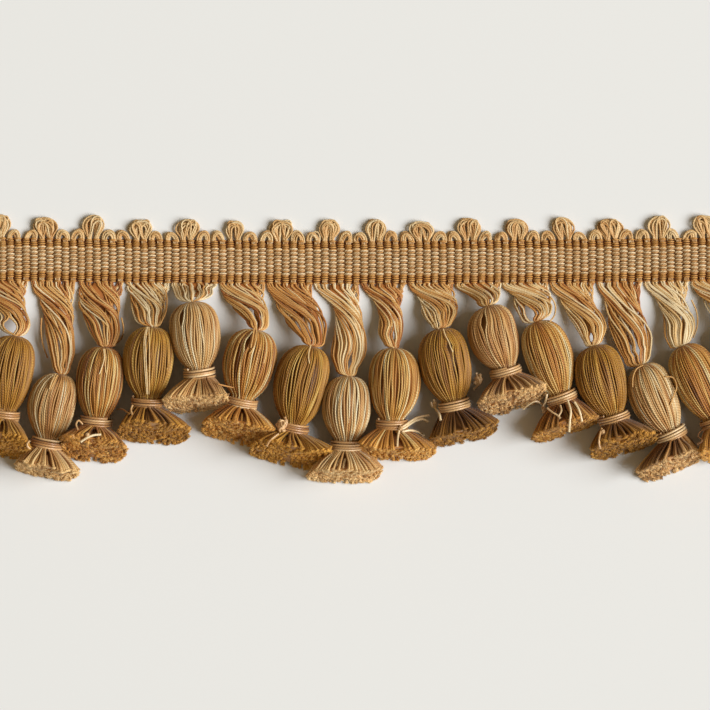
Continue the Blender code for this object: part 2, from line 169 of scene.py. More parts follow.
SKIRTS = (
    Skirt(11.1, 0.0, 13.0, 11.0, 6.5, 15.0, 0.0, 4.5),
    Skirt(10.9, 1.8, 10.4, 7.2, 8.0, 12.2, -2.0, -2.0),
    Skirt(11.3, 0.0, 7.6, 8.4, 5.5, 14.2, 4.5, -1.0),
    Skirt(12.2, 3.2, 11.8, 8.6, 6.8, 14.6, 0.0, -3.0),
    Skirt(11.1, -2.1, 9.0, 9.9, 7.7, 13.4, 4.5, 5.0),
    Skirt(12.4, 0.9, 12.0, 7.0, 6.8, 14.6, -2.0, 2.0),
    Skirt(13.6, 1.0, 11.4, 3.4, 5.8, 13.6, 0.0, 5.0),
    Skirt(12.8, 0.2, 12.1, 6.7, 8.8, 13.4, -3.0, -3.0),
    Skirt(13.2, 2.2, 6.4, 8.2, 8.6, 12.8, 4.0, 0.0),
    Skirt(12.2, 1.6, 11.0, 7.8, 9.6, 13.8, -2.0, -3.0),
    Skirt(12.0, -0.2, 8.3, 8.4, 7.0, 14.0, 4.0, 5.0),
    Skirt(11.8, -2.2, 10.4, 11.2, 9.0, 13.4, -3.0, 0.0),
    Skirt(11.5, 0.6, 10.4, 10.3, 6.8, 13.4, -1.0, 4.5),
    Skirt(11.6, -4.5, 7.4, 11.8, 7.4, 13.2, -3.0, -3.0),
    Skirt(9.6, -0.3, 8.0, 11.4, 7.7, 13.8, 3.5, -2.0),
    Skirt(11.2, 0.4, 8.4, 9.2, 8.6, 14.0, 4.0, 0.0),
)

LARGE_LOOPS = tuple(
    LargeLoop(*row)
    for row in (
        (0.4, 1.06, 1.0), (-0.8, 0.98, 1.05), (0.2, 1.10, 0.95), (0.5, 0.94, 1.0),
        (0.8, 0.98, 1.05), (0.5, 0.92, 0.9), (0.3, 0.97, 1.1), (0.5, 0.98, 0.9),
        (0.0, 1.00, 0.9), (-0.8, 0.90, 1.1), (-0.8, 1.04, 1.1), (-0.6, 1.00, 1.0),
        (-0.8, 1.04, 1.0), (-0.8, 0.96, 1.1), (0.3, 1.06, 0.95), (-0.8, 1.04, 0.95),
    )
)

# Each skein from the braid down: the height and how far it reaches to the left and to the right.
SKEIN_EDGES = (
    ((-13.1, -131.2, -116.5), (-20.1, -127.4, -114.1)),
    (
        (-13.1, -112.7, -99.8),
        (-20.1, -110.6, -99.8),
        (-27.1, -110.2, -99.4),
        (-32.4, -108.8, -99.4),
        (-35.9, -107.8, -100.8),
    ),
    ((-13.1, -99.0, -83.6), (-20.1, -96.9, -83.3), (-25.4, -94.5, -83.3), (-28.2, -92.4, -84.7)),
    ((-12.0, -81.0, -67.6), (-16.6, -80.3, -67.5), (-19.6, -79.2, -68.2)),
    ((-8.9, -65.9, -50.0), (-10.6, -65.2, -50.5)),
    ((-12.8, -47.6, -33.2), (-17.0, -44.3, -31.2), (-21.0, -40.0, -31.3)),
    ((-13.1, -30.8, -15.4), (-18.4, -29.4, -11.9), (-23.6, -25.9, -10.8), (-27.1, -21.7, -11.5)),
    ((-13.1, -12.2, 0.0), (-20.1, -9.1, 1.4), (-27.1, -9.8, 2.4), (-32.4, -10.5, 2.1), (-36.9, -8.8, -0.7)),
    ((-13.1, 4.2, 15.0), (-20.1, 5.9, 15.4), (-25.4, 5.9, 15.0), (-28.2, 7.7, 14.0)),
    ((-13.1, 19.9, 34.3), (-18.4, 21.3, 34.3), (-21.6, 24.3, 32.4)),
    ((-10.7, 36.8, 49.7), (-13.1, 40.4, 49.0)),
    ((-11.4, 52.8, 67.2), (-14.9, 53.2, 67.9), (-18.4, 55.6, 67.5)),
    ((-13.1, 69.3, 81.9), (-18.4, 72.4, 85.0), (-23.6, 75.6, 86.4), (-27.1, 77.7, 85.0)),
    ((-13.1, 85.0, 98.3), (-20.1, 85.8, 100.8), (-27.1, 88.5, 102.5), (-32.4, 91.7, 101.8)),
    ((-13.1, 103.2, 114.1), (-20.1, 105.3, 116.9), (-25.4, 105.7, 116.9), (-27.8, 107.2, 115.7)),
    ((-13.1, 118.9, 134.8), (-17.3, 122.1, 135.7)),
)

# How many half turns each skein is twisted from the braid to its knot.
TWISTS = (0.85, 1.0, 0.75, 0.6, 0.06, 0.7, 0.62, 0.85, 0.9, 0.7, 0.2, 0.8, 0.75, 0.62, 0.75, 0.7)


@dataclass(frozen=True)
class Eye:
    """A gap between a skein's strands just above the knot."""

    number: int
    x: float
    y: float
    half_x: float
    half_y: float


EYES = (
    Eye(0, -121.9, -22.4, 2.3, 2.6),
    Eye(1, -103.0, -35.5, 0.5, 1.8),
    Eye(7, -3.6, -34.8, 0.6, 2.4),
    Eye(8, 11.7, -25.7, 0.5, 2.4),
    Eye(11, 60.4, -18.0, 0.9, 1.5),
    Eye(12, 80.5, -26.3, 0.8, 1.5),
    Eye(13, 96.6, -30.6, 0.6, 1.7),
)


@dataclass(frozen=True)
class LooseThread:
    """A thread's end or a stray loop over the fringe: its tassel, and x and y of each place in turn."""

    number: int
    tone: float
    radius: float
    spots: Floats
    frayed: bool = False


@dataclass(frozen=True)
class Knot:
    """A lump where a tie's ends are knotted."""

    number: int
    x: float
    y: float
    half_x: float
    half_y: float
    thread: float = 0.3


TIE_ENDS = (
    LooseThread(8, 0.85, 0.42, (14.0, -57.9, 16.1, -56.5, 19.6, -54.4, 24.1, -53.4), True),
    LooseThread(8, 0.95, 0.42, (14.7, -58.3, 16.8, -56.9, 19.6, -55.3, 22.4, -54.9, 23.8, -55.8), True),
    LooseThread(8, 0.9, 0.42, (14.7, -59.0, 17.5, -58.6, 20.3, -59.3, 22.4, -60.7), True),
    LooseThread(8, 0.8, 0.4, (13.6, -58.6, 13.1, -61.1, 12.9, -64.2), True),
    LooseThread(6, 0.45, 0.36, (-28.3, -59.7, -30.0, -61.0, -31.4, -62.2, -32.4, -64.0), True),
    LooseThread(6, 0.45, 0.36, (-26.0, -57.5, -25.4, -55.4, -26.2, -54.0), True),
    LooseThread(11, 0.85, 0.42, (65.1, -46.0, 64.8, -48.1, 64.0, -50.2)),
    LooseThread(11, 0.9, 0.36, (64.0, -49.9, 61.6, -48.5, 59.1, -49.5, 57.0, -51.3), True),
    LooseThread(11, 0.7, 0.34, (65.1, -50.9, 66.8, -52.3, 68.6, -53.4, 69.6, -54.4), True),
    LooseThread(11, 0.75, 0.34, (69.6, -49.9, 70.0, -51.6, 68.9, -53.7), True),
    LooseThread(11, 0.95, 0.42, (72.1, -48.1, 73.1, -52.0, 72.8, -55.1, 72.6, -59.0), True),
    LooseThread(11, 0.95, 0.42, (74.5, -48.8, 75.9, -51.3, 76.6, -53.4, 77.0, -55.5), True),
    LooseThread(2, 1.0, 0.42, (-89.9, -60.0, -92.4, -60.2, -94.8, -61.1, -96.9, -62.5), True),
    LooseThread(2, 0.6, 0.34, (-96.6, -56.5, -98.0, -55.1, -98.7, -56.5, -98.0, -58.3)),
    LooseThread(1, 0.6, 0.34, (-114.4, -62.1, -115.3, -62.8, -115.3, -64.2, -114.4, -64.9)),
    LooseThread(3, 0.6, 0.34, (-79.1, -49.9, -79.6, -51.3, -79.1, -53.0)),
    LooseThread(9, 0.95, 0.42, (25.9, -47.8, 26.1, -50.6, 27.6, -53.0, 28.0, -55.1), True),
    LooseThread(9, 0.85, 0.4, (24.8, -48.8, 25.5, -50.6, 26.6, -49.9), True),
    LooseThread(12, 0.5, 0.36, (84.0, -57.9, 83.3, -60.0, 82.9, -62.8, 83.3, -64.9), True),
    LooseThread(10, 0.6, 0.3, (42.4, -42.2, 41.0, -40.2, 40.6, -38.6), True),
    LooseThread(10, 0.6, 0.3, (42.0, -42.4, 40.6, -43.6, 39.6, -44.4), True),
    LooseThread(14, 0.1, 0.3, (121.1, -57.9, 118.6, -59.0, 117.6, -60.7, 119.0, -62.1, 117.2, -63.5), True),
)

SKEIN_STRAYS = (
    LooseThread(1, 0.7, 0.28, (-105.9, -39.0, -107.1, -41.5, -108.0, -44.3)),
    LooseThread(1, 0.5, 0.28, (-105.3, -39.4, -106.4, -41.8, -107.6, -44.4)),
    LooseThread(2, 0.85, 0.24, (-89.2, -30.3, -88.9, -33.4, -89.6, -36.2, -90.6, -39.0)),
    LooseThread(2, 0.7, 0.22, (-88.8, -30.3, -88.4, -33.4, -88.6, -36.2, -88.4, -38.6)),
    LooseThread(3, 0.8, 0.2, (-74.2, -22.6, -74.9, -25.7, -75.0, -33.0, -74.6, -40.0, -74.2, -46.0)),
    LooseThread(3, 0.9, 0.2, (-74.0, -22.6, -74.4, -25.7, -74.4, -33.0, -74.1, -40.0, -73.9, -46.0)),
    LooseThread(3, 0.75, 0.2, (-73.5, -22.6, -73.3, -26.2, -73.2, -33.0, -73.2, -40.0, -73.4, -46.0)),
    LooseThread(5, 0.5, 0.28, (-36.9, -23.3, -37.3, -26.4, -38.0, -29.9)),
    LooseThread(5, 0.6, 0.26, (-36.0, -23.6, -36.0, -26.4, -36.6, -28.8, -37.4, -30.6, -38.4, -31.8)),
    LooseThread(6, 0.8, 0.25, (-17.1, -28.9, -17.8, -31.3, -17.9, -33.4, -17.6, -35.4)),
    LooseThread(9, 0.8, 0.26, (28.9, -23.4, 29.7, -25.8, 30.8, -27.8, 31.4, -29.6, 32.2, -31.4)),
    LooseThread(13, 0.55, 0.28, (98.5, -35.9, 96.2, -37.3, 95.0, -40.1, 94.8, -43.6)),
    LooseThread(13, 0.5, 0.28, (106.2, -39.9, 108.8, -40.2, 110.2, -43.2, 109.0, -46.7, 107.8, -49.9)),
    LooseThread(3, 0.35, 0.28, (-85.0, -51.3, -82.6, -51.4, -80.0, -53.0), True),
    LooseThread(5, 0.35, 0.28, (-49.3, -42.5, -46.5, -43.2, -43.8, -43.8)),
    LooseThread(11, 0.6, 0.28, (64.0, -10.3, 66.5, -12.1, 68.2, -14.9, 67.9, -18.4, 66.1, -20.8)),
    LooseThread(3, 0.45, 0.28, (-67.9, -9.6, -67.4, -13.8, -67.9, -18.0, -69.6, -21.5)),
    LooseThread(14, 0.6, 0.28, (115.8, -13.1, 117.6, -17.3, 117.9, -21.9, 116.5, -26.4)),
    LooseThread(1, 0.4, 0.28, (-111.3, -19.4, -111.5, -23.6, -110.8, -28.9, -109.2, -33.4)),
    LooseThread(2, 0.5, 0.28, (-83.3, -19.4, -82.6, -22.9, -83.3, -26.4, -85.8, -28.9)),
)

KNOTS = (
    Knot(8, 14.2, -58.1, 1.2, 1.3),
    Knot(6, -27.4, -57.2, 2.3, 3.1, 0.36),
    Knot(11, 64.3, -51.2, 1.1, 1.9),
    Knot(12, 84.3, -59.2, 0.9, 1.2),
    Knot(10, 41.5, -41.2, 1.9, 2.3, 0.32),
    Knot(2, -94.6, -60.1, 0.8, 0.7),
    Knot(9, 26.2, -49.3, 0.8, 0.9),
)


def column_x(column: Any) -> Any:
    """Gives the middle of a woven column, counted from 0 at the left."""
    return -BRAID_LENGTH / 2 + (column + 0.5) * COLUMN_PITCH


def braid_rise(x: Any) -> Any:
    """Gives how far the braid's middle line lies towards +Y.

    Args:
        x: The place along the braid.

    Returns:
        The rise there.
    """
    left_end = -BRAID_LENGTH / 2
    edges = left_end + np.arange(REPEATS + 1) * REPEAT_LENGTH
    return np.interp(x, edges, BRAID_BOW * (edges / left_end) ** 2)


def through(at: np.ndarray, spots: Sequence[float], values: Sequence[float]) -> np.ndarray:
    """Gives a smooth curve's height at some places.

    Args:
        at: The places that are asked for.
        spots: The places that the curve is known at, rising.
        values: The curve's height at each of them.

    Returns:
        The height at each place asked for.
    """
    xs, ys = np.asarray(spots, float), np.asarray(values, float)
    slopes = np.gradient(ys, xs)
    at = np.clip(at, xs[0], xs[-1])
    low = np.clip(np.searchsorted(xs, at, side="right") - 1, 0, len(xs) - 2)
    width = xs[low + 1] - xs[low]
    t = (at - xs[low]) / width
    rise, run = 3 * t**2 - 2 * t**3, ys[low + 1] - ys[low]
    ends = slopes[low] * (t**3 - 2 * t**2 + t) + slopes[low + 1] * (t**3 - t**2)
    return ys[low] + run * rise + ends * width


def points(x: Any, y: Any, z: Any) -> np.ndarray:
    """Gives places from their X, Y and Z, with the axis last."""
    return np.stack(np.broadcast_arrays(x, y, z), axis=-1)


def ring(corners: int) -> np.ndarray:
    """Gives the angles of even corners round a ring."""
    return np.arange(corners) / corners * math.tau


@dataclass(frozen=True)
class Ripple:
    """A smooth uneven field over two numbers, the same at each run."""

    seed: int
    first: float = 1.0
    second: float = 1.0
    waves: int = 6

    def at(self, u: Any, v: Any) -> np.ndarray:
        """Gives the field, about -1 to 1.

        Args:
            u: The first number, such as the place among the neighbours.
            v: The second number, such as the way along the yarn.

        Returns:
            The field's value at each pair.
        """
        draw = np.random.default_rng(self.seed)
        total = 0.0
        for _ in range(self.waves):
            turn_u, turn_v = draw.uniform(0.4, 1.6) * self.first, draw.uniform(0.4, 1.6) * self.second
            phase = draw.uniform(0, math.tau)
            total = total + np.sin(turn_u * u * draw.choice((-1, 1)) + turn_v * v + phase)
        return total / math.sqrt(self.waves)


class Wire:
    """One socket of a node tree, which takes part in sums as a number does."""

    def __init__(self, bench: NodeBench, socket: bpy.types.NodeSocket) -> None:
        """Keeps the bench and the socket."""
        self.bench = bench
        self.socket = socket

    def sum(self, operation: str, first: Any, second: Any = 0.0) -> Wire:
        """Adds one Math node that does an operation with one or two values or wires."""
        return self.bench.wire("ShaderNodeMath", {0: first, 1: second}, operation=operation)

    def __add__(self, other: Any) -> Wire:
        """Adds a value."""
        return self.sum("ADD", self, other)

    __radd__ = __add__

    def __sub__(self, other: Any) -> Wire:
        """Takes a value away."""
        return self.sum("SUBTRACT", self, other)

    def __rsub__(self, other: Any) -> Wire:
        """Is taken from a value."""
        return self.sum("SUBTRACT", other, self)

    def __mul__(self, other: Any) -> Wire:
        """Multiplies by a value."""
        return self.sum("MULTIPLY", self, other)

    __rmul__ = __mul__

    def __truediv__(self, other: Any) -> Wire:
        """Divides by a value."""
        return self.sum("DIVIDE", self, other)

    def line(self, slope: float, start: float) -> Wire:
        """Gives a start and a slope times this."""
        return self * slope + start

    def cosine(self) -> Wire:
        """Gives the cosine."""
        return self.sum("COSINE", self)

    def at_least(self, limit: float) -> Wire:
        """Gives this, or the limit where this is lower."""
        return self.sum("MAXIMUM", self, limit)

    def over(self, limit: float) -> Wire:
        """Gives 1 where this is over a limit, and 0 elsewhere."""
        return self.sum("GREATER_THAN", self, limit)

    def near(self, value: float) -> Wire:
        """Gives 1 where this is within a half of a value, and 0 elsewhere."""
        return self.over(value - 0.5) * (1.0 - self.over(value + 0.5))


class NodeBench:
    """Makes the nodes of one shader or geometry tree."""

    def __init__(self, tree: bpy.types.NodeTree) -> None:
        """Keeps the tree."""
        self.tree = tree

    def node(self, kind: str, inputs: dict[Any, Any] | None = None, **settings: Any) -> bpy.types.Node:
        """Makes one node.

        Args:
            kind: The node's type.
            inputs: A value or a wire for each socket, by name or by number.
            **settings: Its own settings, which are set first.

        Returns:
            The node.
        """
        made = self.tree.nodes.new(kind)
        for name, value in settings.items():
            setattr(made, name, value)
        for name, value in (inputs or {}).items():
            if isinstance(value, Wire):
                self.tree.links.new(value.socket, made.inputs[name])
            else:
                made.inputs[name].default_value = value
        return made

    def wire(
        self, kind: str, inputs: dict[Any, Any] | None = None, output: Any = 0, **settings: Any
    ) -> Wire:
        """Makes one node, as node does, and gives one of its outputs, by name or by number."""
        return Wire(self, self.node(kind, inputs, **settings).outputs[output])

    def split(self, vector: Wire) -> list[Wire]:
        """Gives the three parts of a vector."""
        return [Wire(self, part) for part in self.node("ShaderNodeSeparateXYZ", {0: vector}).outputs]

    def combine(self, x: Any = 0.0, y: Any = 0.0, z: Any = 0.0) -> Wire:
        """Makes a vector of three parts."""
        return self.wire("ShaderNodeCombineXYZ", {0: x, 1: y, 2: z})

    def mix(self, share: Any, first: Any, second: Any, blend: str = "MIX") -> Wire:
        """Mixes two colours by the second's share, 0 to 1."""
        inputs = {0: share, 6: first, 7: second}
        return self.wire("ShaderNodeMix", inputs, 2, data_type="RGBA", blend_type=blend)

    def ramp(self, place: Wire, colours: list[Floats]) -> Wire:
        """Gives one of a row of colours, which blend into each other.

        Args:
            place: Where on the row, 0 to 1.
            colours: The colours, at even steps.

        Returns:
            The colour there.
        """
        made = self.node("ShaderNodeValToRGB", {0: place})
        elements = made.color_ramp.elements
        while len(elements) < len(colours):
            elements.new(1.0)
        for spot, (element, colour) in enumerate(zip(elements, colours)):
            element.position = spot / (len(colours) - 1)
            element.color = colour
        return Wire(self, made.outputs[0])

    def noise(self, place: Wire, scale: float, detail: float, roughness: float = 0.5) -> Wire:
        """Gives a cloudy field, 0 to 1, with finer layers as its detail."""
        inputs = {"Vector": place, "Scale": scale, "Detail": detail, "Roughness": roughness}
        return self.wire("ShaderNodeTexNoise", inputs)

    def bump(self, height: Wire, strength: float, distance: float) -> Wire:
        """Gives the directions of a surface with a relief, whose depth is in metres."""
        inputs = {"Height": height, "Strength": strength, "Distance": distance}
        return self.wire("ShaderNodeBump", inputs)

    def surface(self, inputs: dict[str, Any]) -> None:
        """Makes the shader, with these inputs, and the material's output."""
        shader = self.wire("ShaderNodeBsdfPrincipled", inputs)
        self.node("ShaderNodeOutputMaterial", {"Surface": shader})


def new_material(name: str) -> tuple[bpy.types.Material, NodeBench]:
    """Starts a material.

    Args:
        name: Its name.

    Returns:
        The material, without nodes, and the bench that makes them.
    """
    material = bpy.data.materials.new(name)
    material.use_nodes = True
    material.node_tree.nodes.clear()
    return material, NodeBench(material.node_tree)


def put(name: str, data: bpy.types.ID) -> bpy.types.Object:
    """Puts a new object into the scene.

    Args:
        name: Its name.
        data: Its mesh, lamp or camera.

    Returns:
        The object.
    """
    made = bpy.data.objects.new(name, data)
    bpy.context.scene.collection.objects.link(made)
    return made


def paint(red: int, green: int, blue: int) -> tuple[float, float, float, float]:
    """Gives the scene's colour for a paint chip.

    Args:
        red: The chip's red, 0 to 255.
        green: Its green.
        blue: Its blue.

    Returns:
        The linear colour, with full alpha.
    """
    chip = [value / 255 for value in (red, green, blue)]
    linear = [value / 12.92 if value <= 0.04045 else ((value + 0.055) / 1.055) ** 2.4 for value in chip]
    return (*linear, 1.0)


@dataclass(frozen=True)
class YarnFinish:
    """Twisted two-ply yarn: colours by tone from dark to light, and how it takes light, with painted shade in
    the grooves between its plies, and a painted glow and a partly painted lighter colour on its frayed ends.
    """

    name: str
    colours: tuple[Chip, ...]
    roughness: float = 0.5
    sheen: float = 0.12
    twist_shade: float = 0.30
    twist_tone: float = 0.12
    fibre_tone: float = 0.16
    drift_tone: float = 0.14
    specular: float = 0.5
    relief: float = 0.00012
    # The frayed ends' colour: partly their own paler colour, partly painted light, made lighter to stand in
    # for light scattered through the loose fibres.
    fray_and_glow_colour: Chip = (238, 206, 152)
    fray_share: float = 0.6
    # Painted glow: how strongly the frayed ends give off light of their own colour, standing in for light
    # scattered through the loose fibres.
    painted_glow: float = 0.08
    fibre_scale: float = 2600.0
    drift_scale: float = 260.0
    plies: float = 2.0
    fray_tone: float = 0.12
    fibre_shade: float = 0.35
    fray_shade: float = 0.15
    loose_drift: Pair = (1.3, 0.35)
    loose_tone: Pair = (1.2, 0.4)
    ply_relief: float = 0.7
    fibre_rough: float = 0.25
    fray_rough: float = 0.2
    bump: float = 0.6
    sheen_rough: float = 0.45

    def material(self) -> bpy.types.Material:
        """Gives the yarn's material, made once."""
        return bpy.data.materials.get(self.name) or self.make()

    def make(self) -> bpy.types.Material:
        """Builds the yarn's nodes.

        Returns:
            The new material.
        """
        material, bench = new_material(self.name)
        tone, fray = (
            bench.wire("ShaderNodeAttribute", output="Fac", attribute_name=name)
            for name in ("yarn_tone", "yarn_fray")
        )
        turns, around, _ = bench.split(bench.wire("ShaderNodeUVMap", uv_map="UVMap"))
        twist = ((around * self.plies + turns) * math.tau).cosine() * 0.5 + 0.5
        place = bench.wire("ShaderNodeTexCoord", output="Object")
        fibre = bench.noise(place, self.fibre_scale, 2.0, 0.6)
        drift = bench.noise(place, self.drift_scale, 1.0)
        grain = (fibre - 0.5) * (self.fibre_tone + fray * self.fray_tone)
        own = tone + (twist - 0.5) * self.twist_tone + grain + (drift - 0.5) * self.drift_tone
        base = bench.ramp(own, [paint(*colour) for colour in self.colours])
        # Painted shade: the colour is darkened in the grooves between the plies as they twist, and mottled by
        # the fibre noise.
        shade = (1.0 - self.twist_shade) + twist * self.twist_shade
        shade = shade * ((fibre - 0.5) * fray.line(self.fray_shade, self.fibre_shade) + 1.0)
        dyed = bench.mix(1.0, base, bench.combine(shade, shade, shade), "MULTIPLY")
        loose = drift.line(*self.loose_drift) * tone.line(*self.loose_tone)
        # Frayed ends are mixed towards a lighter colour, partly their own and partly painted light.
        frayed = bench.mix(fray * self.fray_share * loose, dyed, paint(*self.fray_and_glow_colour))
        relief = twist * self.ply_relief * (1.0 - fray) + fibre * (fray * 0.5 + 0.5)
        bench.surface(
            {
                "Base Color": frayed,
                "Roughness": self.roughness + (fibre - 0.5) * self.fibre_rough + fray * self.fray_rough,
                "Normal": bench.bump(relief, self.bump, self.relief),
                "Specular IOR Level": self.specular,
                "Sheen Weight": self.sheen,
                "Sheen Roughness": self.sheen_rough,
                # Painted glow: the frayed ends give off a little light of their own colour.
                "Emission Color": bench.mix(fray, paint(0, 0, 0), frayed),
                "Emission Strength": self.painted_glow,
            }
        )
        return material


class YarnTree:
    """The geometry tree that turns thin paths into round yarn, with closed hearts and frayed tufts."""

    TAKES = {"Geometry": "Geometry", "Sides": "Int", "Tuft": "Object", "Tuft Seed": "Int", "Yarn": "Material"}

    def __init__(self) -> None:
        """Names what the tree takes and gives, and makes its nodes."""
        self.tree = bpy.data.node_groups.new("yarn_sweep", "GeometryNodeTree")
        face = self.tree.interface
        face.new_socket("Geometry", in_out="OUTPUT", socket_type="NodeSocketGeometry")
        self.keys = {
            name: face.new_socket(name, in_out="INPUT", socket_type=f"NodeSocket{kind}").identifier
            for name, kind in self.TAKES.items()
        }
        self.bench = NodeBench(self.tree)
        given = self.bench.node("NodeGroupInput").outputs
        self.raw, self.sides, self.tuft, self.seed, self.yarn = (
            Wire(self.bench, given[spot]) for spot in range(len(self.TAKES))
        )
        self.part = self.stored("part")
        self.build()

    def stored(self, name: str, kind: str = "FLOAT") -> Wire:
        """Gives a named value of the raw mesh."""
        return self.bench.wire("GeometryNodeInputNamedAttribute", {"Name": name}, data_type=kind)

    def build(self) -> None:
        """Makes the tree's nodes, which leave no point of the yarn below the table."""
        bench = self.bench
        joined = bench.node("GeometryNodeJoinGeometry")
        for branch in (self.sweep(), self.heart(), self.tufts()):
            self.tree.links.new(branch.socket, joined.inputs[0])
        across, down, up = bench.split(bench.wire("GeometryNodeInputPosition"))
        spot = bench.combine(across, down, up.at_least(TABLE_GAP * MM))
        shape = Wire(bench, joined.outputs[0])
        above = bench.wire("GeometryNodeSetPosition", {"Geometry": shape, "Position": spot})
        whole = bench.wire("GeometryNodeRealizeInstances", {0: above})
        dressed = bench.wire("GeometryNodeSetMaterial", {"Geometry": whole, "Material": self.yarn})
        bench.node("NodeGroupOutput", {0: dressed})

    def sweep(self) -> Wire:
        """Sweeps the strands.

        Returns:
            The swept yarn, with a UV map that counts its twist.
        """
        bench, strand = self.bench, self.part.near(Part.STRAND.value)
        paths = bench.wire("GeometryNodeMeshToCurve", {"Mesh": self.raw, "Selection": strand})
        circle = {"Resolution": self.sides, "Radius": 1.0}
        ring = bench.wire("GeometryNodeCurvePrimitiveCircle", circle, mode="RADIUS")
        marked = bench.wire(
            "GeometryNodeStoreNamedAttribute",
            {"Geometry": ring, "Name": "around", "Value": bench.wire("GeometryNodeInputIndex") / self.sides},
            data_type="FLOAT",
            domain="POINT",
        )
        tube = bench.wire(
            "GeometryNodeCurveToMesh",
            {"Curve": paths, "Profile Curve": marked, "Scale": self.stored("yarn_radius"), "Fill Caps": True},
        )
        around = self.stored("around")
        middle = bench.wire("GeometryNodeFieldOnDomain", {0: around}, data_type="FLOAT", domain="FACE")
        wrapped = around + (middle - around).over(0.25)
        mapped = bench.wire(
            "GeometryNodeStoreNamedAttribute",
            {"Geometry": tube, "Name": "UVMap", "Value": bench.combine(self.stored("yarn_turns"), wrapped)},
            data_type="FLOAT2",
            domain="CORNER",
        )
        return bench.wire("GeometryNodeSetShadeSmooth", {"Geometry": mapped})

    def heart(self) -> Wire:
        """Keeps the closed bodies that the strands lie on.

        Returns:
            The bodies, shaded smooth.
        """
        inputs = {"Geometry": self.raw, "Selection": self.part.near(Part.HEART.value)}
        kept = self.bench.wire("GeometryNodeSeparateGeometry", inputs, domain="POINT")
        return self.bench.wire("GeometryNodeSetShadeSmooth", {"Geometry": kept})

    def tufts(self) -> Wire:
        """Sets a frayed tuft on each cut end, with a turn of its own.

        Returns:
            The tufts.
        """
        bench, aims = self.bench, {"Vector": self.stored("tuft_aim", "FLOAT_VECTOR")}
        aim = bench.wire("FunctionNodeAlignRotationToVector", aims, axis="Z")
        limits = {2: 0.0, 3: math.tau, "Seed": self.seed}
        turn = bench.wire("FunctionNodeRandomValue", limits, 1, data_type="FLOAT")
        both = {"Rotation": aim, "Rotate By": bench.combine(z=turn)}
        brushes = bench.wire(
            "GeometryNodeInstanceOnPoints",
            {
                "Points": self.raw,
                "Selection": self.part.near(Part.TUFT.value),
                "Instance": bench.wire("GeometryNodeObjectInfo", {"Object": self.tuft}, "Geometry"),
                "Rotation": bench.wire("FunctionNodeRotateRotation", both, rotation_space="LOCAL"),
                "Scale": self.stored("tuft_size"),
            },
        )
        return bench.wire("GeometryNodeRealizeInstances", {0: brushes})


